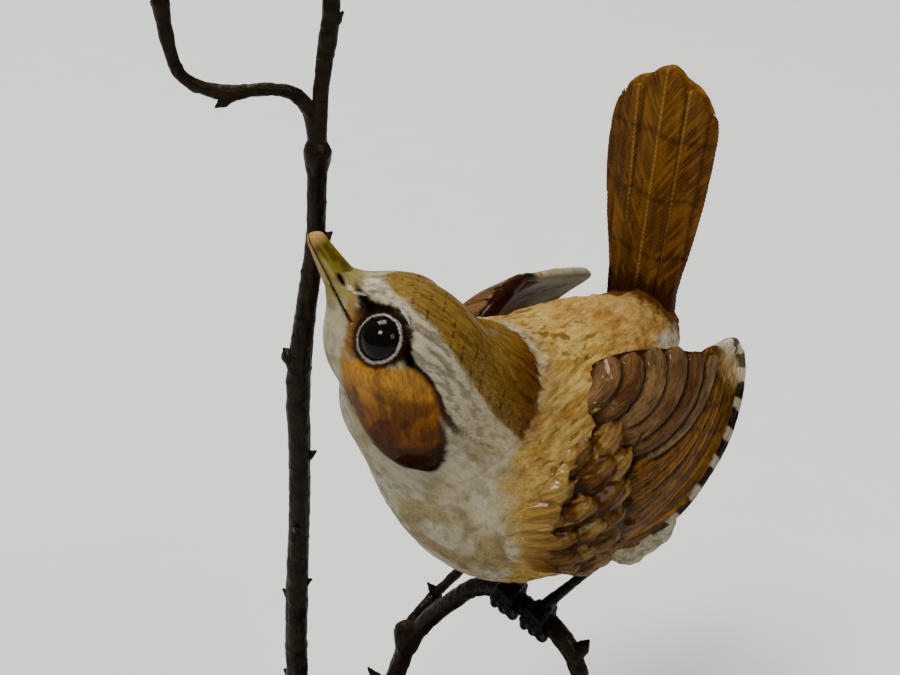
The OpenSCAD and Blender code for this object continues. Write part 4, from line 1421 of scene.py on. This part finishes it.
def bill_half(upper):
    """One half of the bill: rings along it, each a rounded arch over the gape."""
    rings, along, turn = [], [], []
    n, m = 56, 40
    for i in range(n):
        t = i / (n - 1)
        x = -BILL_BURIED + (BILL_LEN + BILL_BURIED) * (1 - (1 - t) ** 1.35)
        u = clamp(x / BILL_LEN, 0, 1)
        tip = math.sqrt(max(1 - max((x - BILL_LEN + 1.1) / 1.1, 0) ** 2, 0.0004))
        gape = -0.75 - 0.35 * u + 0.5 * u * u
        if upper:
            tall = (3.95 - 2.05 * u) * tip + 0.05
            wide = (2.75 - 1.40 * u ** 0.9) * tip + 0.03
            sign = 1
        else:
            tall = (1.95 - 1.40 * u) * tip + 0.03
            wide = (2.5 - 1.4 * u ** 0.9) * tip + 0.02
            sign = -1
        ring = []
        for k in range(m):
            a = 2 * math.pi * k / m
            c, s_ = math.cos(a), math.sin(a)
            y = wide * math.copysign(abs(c) ** 0.92, c)
            # a gently keeled ridge above, nearly flat at the gape
            z = tall * (abs(s_) ** (1.15 if upper else 0.95)) if s_ > 0 else -0.10 * abs(s_)
            ring.append(bill_point(x, y, gape + sign * (z + 0.05)))
            along.append(x)
            turn.append(math.degrees(a))
        rings.append(np.array(ring if upper else ring[::-1]))
    v, f = loft(rings)
    turn = np.array(turn)
    if not upper:
        turn = turn.reshape(n, m)[:, ::-1].ravel()
    return v, f, np.array(along), turn


def build_bill():
    """Both halves, painted horn and olive, with the nostril sunk into the upper one."""
    mat = porcelain("bill_paint", 0.6, 1.6, 0.26, 0.02)
    for name, upper in (("upper_bill", True), ("lower_bill", False)):
        v, f, x, turn = bill_half(upper)
        side = np.abs(np.cos(np.radians(turn)))
        high = np.sin(np.radians(turn))
        q = np.stack([x * 0.3, side * 2, high * 2], -1)
        soft = fbm(q * 1.7, 3, 201)
        if upper:
            col = mix(tint(124, 112, 42), tint(90, 80, 20), step(0.42, 0.62, soft))
            # a painted highlight: a pale stripe along each side of the upper bill
            pale = step(0.20, 0.06, np.abs(high - 0.30)) * step(9.5, 5, x)
            col = mix(col, tint(158, 152, 106), 0.8 * pale)
            dark = step(0.14, 0.05, np.abs(high - 0.55 + 0.02 * x)) * step(4.5, 7, x)
            col = mix(col, tint(96, 60, 22), 0.85 * dark)
            col = mix(col, tint(166, 140, 92), step(8.6, 10.2, x + soft))
            col = mix(col, HORN, 0.7 * step(5.0, 1.5, x + 1.5 * soft))
            nostril = np.hypot((x - 2.3) / 1.15, (high - 0.52 + 0.06 * (x - 2.3)) / 0.13)
            col = mix(col, SEPIA * 0.4, step(1.15, 0.85, nostril))
            dent = 0.40 * step(1.2, 0.5, nostril) * (side > 0.2)
            centre = bill_point(0, 0, 0.3)
            axis = bill_point(1) - bill_point(0)
            inward = v - centre - ((v - centre) @ axis)[:, None] * axis
            v = v - unit(inward) * dent[:, None]
        else:
            col = mix(tint(160, 144, 104), tint(132, 112, 66), step(0.42, 0.62, soft))
            col = mix(col, tint(164, 136, 100), step(7, 10, x))
        col = mix(col, BLACK, step(0.16, 0.04, high))
        o = make_piece(name, from_head(v), f, [name], mat, "bill_porcelain", world=False, sharp=50)
        paint(o, col, 0.35 + 0 * x, q + 60)


def turned_faces(n, m):
    """Faces over n rings of m points between a first point and a last one."""
    f = []
    for k in range(m):
        j = (k + 1) % m
        f.append((0, 1 + j, 1 + k))
        f += [(c + k, c + j, c + m + j, c + m + k) for c in range(1, 1 + (n - 1) * m, m)]
        f.append((1 + (n - 1) * m + k, 1 + (n - 1) * m + j, 1 + n * m))
    return f


def build_eyes():
    """Glass eyes: a domed front that the lid holds, narrowing behind to a flat peg."""
    profile = [(0.0, EYE_R)]
    for k in range(1, 27):
        a = math.radians(k * 4.2)
        profile.append((EYE_R * math.sin(a), EYE_R * math.cos(a)))
    profile += [(2.6, -1.9), (1.5, -2.2), (1.45, -3.0), (0.0, -3.0)]
    m = 72
    glass = eye_glass()
    for name, side in (("left_eye", 1), ("right_eye", -1)):
        z = EYE_N * arr(1, side, 1)
        x = unit(np.cross(arr(0, 0, 1), z))
        y = np.cross(z, x)
        at = EYE * arr(1, side, 1)
        v = [at + z * profile[0][1]]
        for r, h in profile[1:-1]:
            for k in range(m):
                a = 2 * math.pi * k / m
                v.append(at + r * (x * math.cos(a) + y * math.sin(a)) + z * h)
        v.append(at + z * profile[-1][1])
        # the profile runs from the front back, so each face is turned over
        f = [face[:1] + face[:0:-1] for face in turned_faces(len(profile) - 2, m)]
        make_piece(name, from_head(np.array(v)), f, [name], glass, "eye_glass", world=False, sharp=40)


# ---------------------------------------------------------------- twigs


def spline(path, steps):
    """A smooth run of (x, y, z, radius) through the points of a path."""
    return [np.array(q) for q in smooth_line(path, steps)]


def bark(p):
    """Relief of the cast bark: lengthwise ridges, bumps, and scars round the twig."""
    ridge = fbm(p * arr(1.5, 1.5, 0.16), 3, 401) - 0.5
    bump = fbm(p * 0.55, 3, 403) - 0.5
    ring = step(0.66, 0.80, noise(p * arr(0.12, 0.12, 0.75), 405))
    return 0.34 * ridge + 0.36 * bump + 0.12 * ring


FAR_OFF = 1e3


def twig_field(points):
    """A chain of round cones, each worked out only within reach of it."""
    reach = 5

    def field(p):
        d = np.full(p.shape[:-1], FAR_OFF)
        for a, b in zip(points[:-1], points[1:]):
            lo, hi = np.minimum(a[:3], b[:3]) - reach, np.maximum(a[:3], b[:3]) + reach
            near = ((p > lo) & (p < hi)).all(-1)
            if near.any():
                d[near] = np.minimum(d[near], round_cone(p[near], a[:3], b[:3], a[3], b[3]))
        return d
    return field


# the straight run of the perch under the feet, as in the CAD: z along the twig, x down
PERCH_AZIMUTH, PERCH_DIP = -44.0, 10.0
PERCH_MID = arr(18.9, -1.4, 79.0)
PERCH = rot("Z", PERCH_AZIMUTH) @ rot("Y", 90 + PERCH_DIP)


def perch_point(along, lift=0.0):
    """A place along the perch, and over it by lift."""
    return PERCH_MID + PERCH @ arr(-lift, 0, along)


PERCH_JOINT = (25.6, -8.2, 76.4)
STEM_JOINT = (-19.6, 12, 166.5)
FORK_JOINT = (-5.2, 15, 60.2)
ROOTED = PLINTH_TOP + 2
# the twigs' centre lines, as in the CAD: x, y, z and radius
TWIGS = {
    "main_stem": ((-25, 10, ROOTED, 2.4), (-26.5, 11, 34, 2.4), (-28, 12, 52, 2.3), (-27.2, 12, 73, 2.25),
                  (-26, 12, 90, 2.1), (-25.2, 12, 106, 2.15), (-24.9, 12, 121, 2.3), (-22.6, 12, 137, 1.95),
                  (-20.4, 12, 151, 1.75), (-19.6, 12, 166, 1.8)),
    "upper_stem": ((-19.6, 12, 166, 1.8), (-18.9, 12, 174, 1.5), (-18, 12, 181, 1.45), (-16.3, 12, 191, 1.6),
                   (-16, 12.5, 199, 1.3), (-14.5, 13.5, 208, 1.15), (-14, 14, 216, 0.5)),
    "side_branch": ((-19.6, 12, 168, 1.6), (-20.1, 12, 172.4, 1.5), (-21.1, 11, 175.6, 1.3),
                    (-23.2, 10, 177.9, 1.2), (-26.2, 9, 178.9, 1.1), (-30, 8, 179, 1.15),
                    (-33.6, 7, 178.8, 1.35), (-37, 6, 179.6, 1.15), (-40, 5.5, 181, 1.1),
                    (-42, 5, 183.4, 1.1), (-43, 5, 187, 1.2),
                    (-43.6, 5, 191.6, 1.35), (-44, 5, 196, 1.6), (-45, 5.5, 203, 1.3), (-45.8, 6, 210, 0.5)),
    "perch_branch": ((-15, 13, ROOTED, 2.2), (-12, 15, 38, 2.1), (-7.7, 16, 49, 2), (-4, 14.6, 60, 2),
                     (2.4, 11, 70, 1.85), (9, 7.2, 77.6, 1.8))
    + tuple((*perch_point(a), 2.0) for a in (-6.6, -2.2, 2.2, 6.6)) + ((*PERCH_JOINT, 2.0),),
    "perch_tip": ((*PERCH_JOINT, 2), (27.6, -10, 73.4, 1.8), (29, -11, 69.6, 1.55), (30.6, -12, 64.5, 1.4),
                  (31.4, -12.4, 60, 0.5)),
    "back_twig": ((-5.8, 15, 60.6, 1.2), (-2.4, 17, 65, 1.15), (2, 20, 68.4, 1.1), (7, 24, 71.6, 1),
                  (14, 28, 77, 0.9), (18, 30, 83, 0.4)),
}
# each bud's root, end and radius
BUDS = {
    "stem_buds": (((-25.2, 12, 124.5), (-26.9, 12, 127.6), 1.4), ((-25.2, 12, 104), (-22.4, 11.6, 106), 0.9),
                  ((-27.2, 12, 71), (-29.6, 12, 73.5), 0.9), ((-27.2, 12, 74), (-24.6, 12, 76), 0.8),
                  ((-20.6, 12, 149), (-17.8, 12, 151.2), 1.1), ((-26, 12, 88), (-26.4, 9.4, 90), 0.9),
                  ((-28, 12, 50), (-30.4, 12.6, 53), 1.0), ((-16.6, 12, 188.6), (-14.6, 11.6, 191.2), 0.8),
                  ((-33.2, 7, 178.4), (-35.6, 6.2, 176.9), 0.9)),
    "perch_buds": (((-9.4, 15.6, 45), (-13, 15, 51.5), 1.2), ((-8.5, 15.8, 47), (-7.6, 18.6, 50.5), 1.0),
                   ((1.4, 18.6, 67.8), (-0.3, 18.4, 70.6), 0.8),
                   ((27.6, -10, 73.4), (30, -9, 76.2), 1.35)),
}
# the knots where twigs join: centre and radius
SWELLINGS = {"main_stem": (STEM_JOINT, 2.5), "perch_branch": (FORK_JOINT, 2.8)}


def field_piece(name, field, points, h, material, slot, pad=4.0, e=0.06):
    """The piece that stands for the CAD node of its own name, from a field round these points."""
    pts = np.array([q[:3] for q in points])
    lo, hi = pts.min(0) - pad, pts.max(0) + pad
    v, f = field_mesh(field, lo, hi, h, 1.8)
    v = settle(field, v, 2, e)
    return make_piece(name, v, f, [name], material, slot)


def bud_field(parts):
    """Pointed buds, each with a collar at its root."""
    def field(p):
        d = np.full(p.shape[:-1], FAR_OFF)
        for a, mid, b, r in parts:
            near = length(p - mid) < length(b - a) + 4
            if near.any():
                q = p[near]
                lower = round_cone(q, a, mid, r * 0.75, r * 1.05)
                bud = smin(lower, round_cone(q, mid, b, r * 0.95, 0.28), 0.5)
                collar = round_cone(q, a, a + (mid - a) * 0.45, r * 1.25, r * 0.9)
                d[near] = np.minimum(d[near], smin(bud, collar, 0.6))
        return d - 0.5 * bark(p * 1.5)
    return field


def build_twigs():
    """Cast twigs with their knots, and the buds on them."""
    mat = bronze("twig_bronze", (0.0036, 0.0018, 0.0005), (0.017, 0.0105, 0.0036), 0.40)
    h = 0.32
    for name, path in TWIGS.items():
        points = spline(path, 3)
        skin = twig_field(points)
        knot = SWELLINGS.get(name)

        def field(p):
            d = skin(p)
            if knot:
                near = p - arr(*knot[0])
                d = smin(d, length(near * arr(1, 1, 0.72)) - knot[1] * 0.95, 1.6)
            return d - bark(p)
        field_piece(name, field, points, h, mat, "dark_bronze")
    for name, buds in BUDS.items():
        ends, parts = [], []
        for a, b, r in buds:
            a, b = arr(*a), arr(*b)
            way = unit(b - a)
            parts.append((a, a + (b - a) * 0.62, b + way * 0.5, r))
            ends += [a, b]
        field_piece(name, bud_field(parts), ends, h * 0.7, mat, "dark_bronze")


# ---------------------------------------------------------------- legs and feet

# as in the CAD: a foot's place along the perch, a toe's radius, the circle its toes curl on,
# and how far round the perch the toes reach
FOOT_SIDE = 3.9
TOE_R = 0.85
TOE_RING = 2.0 + TOE_R + 0.12
TOE_PITCH = 2.1
FRONT_SWEEP, HIND_SWEEP, STAGGER = 140, 100, 8
HEELS = {1: arr(-10.5, 12.5, -28.5), -1: arr(-10, -5, -28)}
HIPS = {1: arr(-9, 10, -11), -1: arr(-8, -6, -11)}


def ring_point(along, turn, r=TOE_RING):
    """A place round the perch: turn 0 is on top, rising ahead of the bird."""
    a = math.radians(180 + turn)
    return PERCH_MID + PERCH @ arr(r * math.cos(a), r * math.sin(a), along)


def chain(points):
    """A smooth chain of (place, radius), as a field."""
    def field(p):
        d = round_cone(p, points[0][0], points[1][0], points[0][1], points[1][1])
        for (a, ra), (b, rb) in zip(points[1:-1], points[2:]):
            d = smin(d, round_cone(p, a, b, ra, rb), 0.35)
        return d
    return field


def toe(along, sweep, way, spread=0.0):
    """Joints and pads of one toe, curled round the perch."""
    out = []
    n = 9
    for k in range(n + 1):
        turn = way * sweep * k / n
        swell = 1.16 if k % 3 == 0 and k else 0.90
        out.append((ring_point(along + spread * k / n, turn), TOE_R * swell))
    return out


def claw(along, sweep, way, spread=0.0):
    """A tapered claw that goes on round the perch from a toe's end."""
    out = []
    for k in range(5):
        turn = way * (sweep + 11.0 * k)
        out.append((ring_point(along + spread, turn, TOE_RING + 0.10 * k), 0.66 - 0.135 * k))
    return out


def scaly(chains, blend):
    """Chains run together, with fine plates across the toes and shanks."""
    def field(p):
        d = chains[0](p)
        for g in chains[1:]:
            d = smin(d, g(p), blend)
        plates = np.abs(np.sin(2.6 * p[..., 2] + 1.7 * p[..., 0]))
        return d - 0.07 * plates - 0.10 * (fbm(p * 1.1, 2, 501) - 0.5)
    return field


def build_feet():
    """Each leg with its pin, its toes and its claws."""
    mat = bronze("foot_bronze", (0.0018, 0.0014, 0.0012), (0.007, 0.005, 0.004), 0.36, 1.6)
    h = 0.2
    for word, side in (("left", 1), ("right", -1)):
        at = FOOT_SIDE * side
        front = [(at + i * TOE_PITCH * 0.55, FRONT_SWEEP + STAGGER * i, 1, 0.45 * i * TOE_PITCH)
                 for i in (-1, 0, 1)]
        hind = (at, HIND_SWEEP, -1)
        hub = perch_point(at, TOE_RING + 0.2)
        heel, hip = to_world(HEELS[side]), to_world(HIPS[side])
        shank = [(hub, 1.25), (hub + (heel - hub) * 0.12, 1.1), (hub + (heel - hub) * 0.5, 0.86),
                 (hub + (heel - hub) * 0.92, 1.0), (heel, 1.28), (heel + (hip - heel) * 0.16, 1.05),
                 (heel + (hip - heel) * 0.5, 1.15), (hip, 1.3)]
        for name, parts in ((f"{word}_leg", [shank]), (f"{word}_front_toes", [toe(*t) for t in front]),
                            (f"{word}_hind_toe", [toe(*hind)]),
                            (f"{word}_claws", [claw(*t) for t in front + [hind]])):
            points = [q for c in parts for q, _ in c]
            field = scaly([chain(c) for c in parts], 0.25)
            field_piece(name, field, points, h, mat, "patinated_bronze", 2.6)


# ---------------------------------------------------------------- base


def lathe(profile, m=128, wobble=None):
    """A turned solid from (radius, height) points that start and end on the axis."""
    v = [(0, 0, profile[0][1])]
    for r, z in profile[1:-1]:
        for k in range(m):
            a = 2 * math.pi * k / m
            rr, zz = wobble(r, z, a) if wobble else (r, z)
            v.append((rr * math.cos(a), rr * math.sin(a), zz))
    v.append((0, 0, profile[-1][1]))
    return np.array(v, float), turned_faces(len(profile) - 2, m)


def arc(cx, cz, r, a0, a1, n=8):
    """Points of an arc in a profile, from the angle a0 to a1."""
    return [(cx + r * math.cos(math.radians(a0 + (a1 - a0) * k / n)),
             cz + r * math.sin(math.radians(a0 + (a1 - a0) * k / n))) for k in range(n + 1)]


def build_plinth():
    """The turned plinth, from its foot up, with a quirk under its top edge."""
    profile = [(0, FELT_TOP), (0.1, FELT_TOP), (48.0, FELT_TOP)] + arc(48.0, 2.2, 1.2, -90, 0, 4)
    profile += arc(46.6, 5.6, 3.2, -35, 55, 8) + arc(50.2, 11.2, 3.4, 235, 125, 10)
    profile += arc(45.6, 17.0, 2.6, -30, 90, 8) + [(44.0, 19.4), (43.4, 19.0)]
    profile += [(42.6, PLINTH_TOP), (0.1, PLINTH_TOP), (0, PLINTH_TOP)]
    v, f = lathe(profile, 160)
    make_piece("plinth", v, f, ["plinth"], walnut(), "plinth_wood", sharp=28)


def build_felt():
    """The felt pad, with a slightly ragged rim."""
    edge = [(0, 0.0), (0.1, 0.0), (46.6, 0.0)]
    edge += arc(46.6, 0.5, 0.5, -90, 0, 3) + arc(46.4, 0.7, 0.5, 0, 90, 3)
    edge += [(0.1, FELT_TOP), (0, FELT_TOP)]

    def fuzz(r, z, a):
        k = 0.25 * math.sin(37 * a) + 0.2 * math.sin(61 * a + 1) if r > 45 else 0
        return r + k, z
    v, f = lathe(edge, 160, fuzz)
    make_piece("felt_pad", v, f, ["felt_pad"], felt(), "felt", sharp=50)


def build_ground():
    """The cast ground: a low uneven mound of leaf litter with stones and roots."""
    rocks = [(arr(9 * math.cos(2.4 * k) * math.sqrt(k), 8.6 * math.sin(2.4 * k) * math.sqrt(k),
                  PLINTH_TOP), 2.0 + 1.6 * math.sin(5.1 * k) ** 2) for k in range(1, 13)]
    roots = [(spline(((-25, 10, 26, 2.2), (-25 + 8 * math.cos(a), 10 + 8 * math.sin(a), 23.6, 1.5),
                      (-25 + 14 * math.cos(a + 0.3), 10 + 13 * math.sin(a + 0.3), 21.4, 0.7)), 3))
             for a in (-2.2, -0.9, 0.5, 2.0)]
    roots += [(spline(((-15, 13, 25.6, 2.0), (-15 + 7 * math.cos(a), 13 + 7 * math.sin(a), 23.4, 1.3),
                       (-15 + 12 * math.cos(a - 0.4), 13 + 12 * math.sin(a - 0.4), 21.2, 0.6)), 3))
              for a in (-0.9, 0.7, 1.9)]

    def ground(p):
        r = np.hypot(p[..., 0], p[..., 1])
        a = np.arctan2(p[..., 1], p[..., 0])
        rim = 31.6 + 1.3 * np.sin(3 * a + 0.5) + 0.8 * np.sin(7 * a)
        dome = 5.2 * np.sqrt(clamp(1 - (r / (rim + 1.0)) ** 2.4))
        dome = dome + 1.3 * (fbm(p * arr(0.16, 0.16, 0.02), 3, 601) - 0.5)
        top = p[..., 2] - PLINTH_TOP - dome
        d = -smin(-top, -(r - rim), 1.2)
        for c, size in rocks:
            d = smin(d, length((p - c) * arr(1, 1, 1.5)) - size, 0.9)
        for line in roots:
            d = smin(d, twig_field(line)(p), 1.2)
        d = d - 0.7 * (fbm(p * 0.42, 3, 603) - 0.5) - 0.25 * (fbm(p * 1.3, 2, 605) - 0.5)
        d = np.maximum(d, p[..., 2] - GROUND_TOP)
        return np.maximum(d, PLINTH_TOP - p[..., 2])
    mat = bronze("ground_bronze", (0.011, 0.008, 0.005), (0.045, 0.034, 0.020), 0.45, 0.8)
    v, f = field_mesh(ground, (-37, -37, 18.6), (37, 37, 29), 0.45, 1.6)
    # the flat foot stays where it is; settling would pull it off the plinth
    flat = v[:, 2] < PLINTH_TOP + 0.2
    v = np.where(flat[:, None], v, settle(ground, v, 2, 0.1))
    v[:, 2] = np.maximum(v[:, 2], PLINTH_TOP)
    make_piece("bronze_ground", v, f, ["bronze_ground"], mat, "patinated_bronze", sharp=60)


def build_hardware():
    """Screws, washers and the plug stay as the CAD has them, with their own finishes."""
    metal, cast = steel(), plaster()
    for node, mat in (("fixing_screws", metal), ("screw_washers", metal), ("anchor_plug", cast)):
        o = bpy.data.objects[node]
        for slot in o.material_slots:
            slot.material = mat


studio()
build_body()
build_bill()
build_eyes()
build_wings()
build_tail()
build_feet()
build_twigs()
build_plinth()
build_felt()
build_ground()
build_hardware()
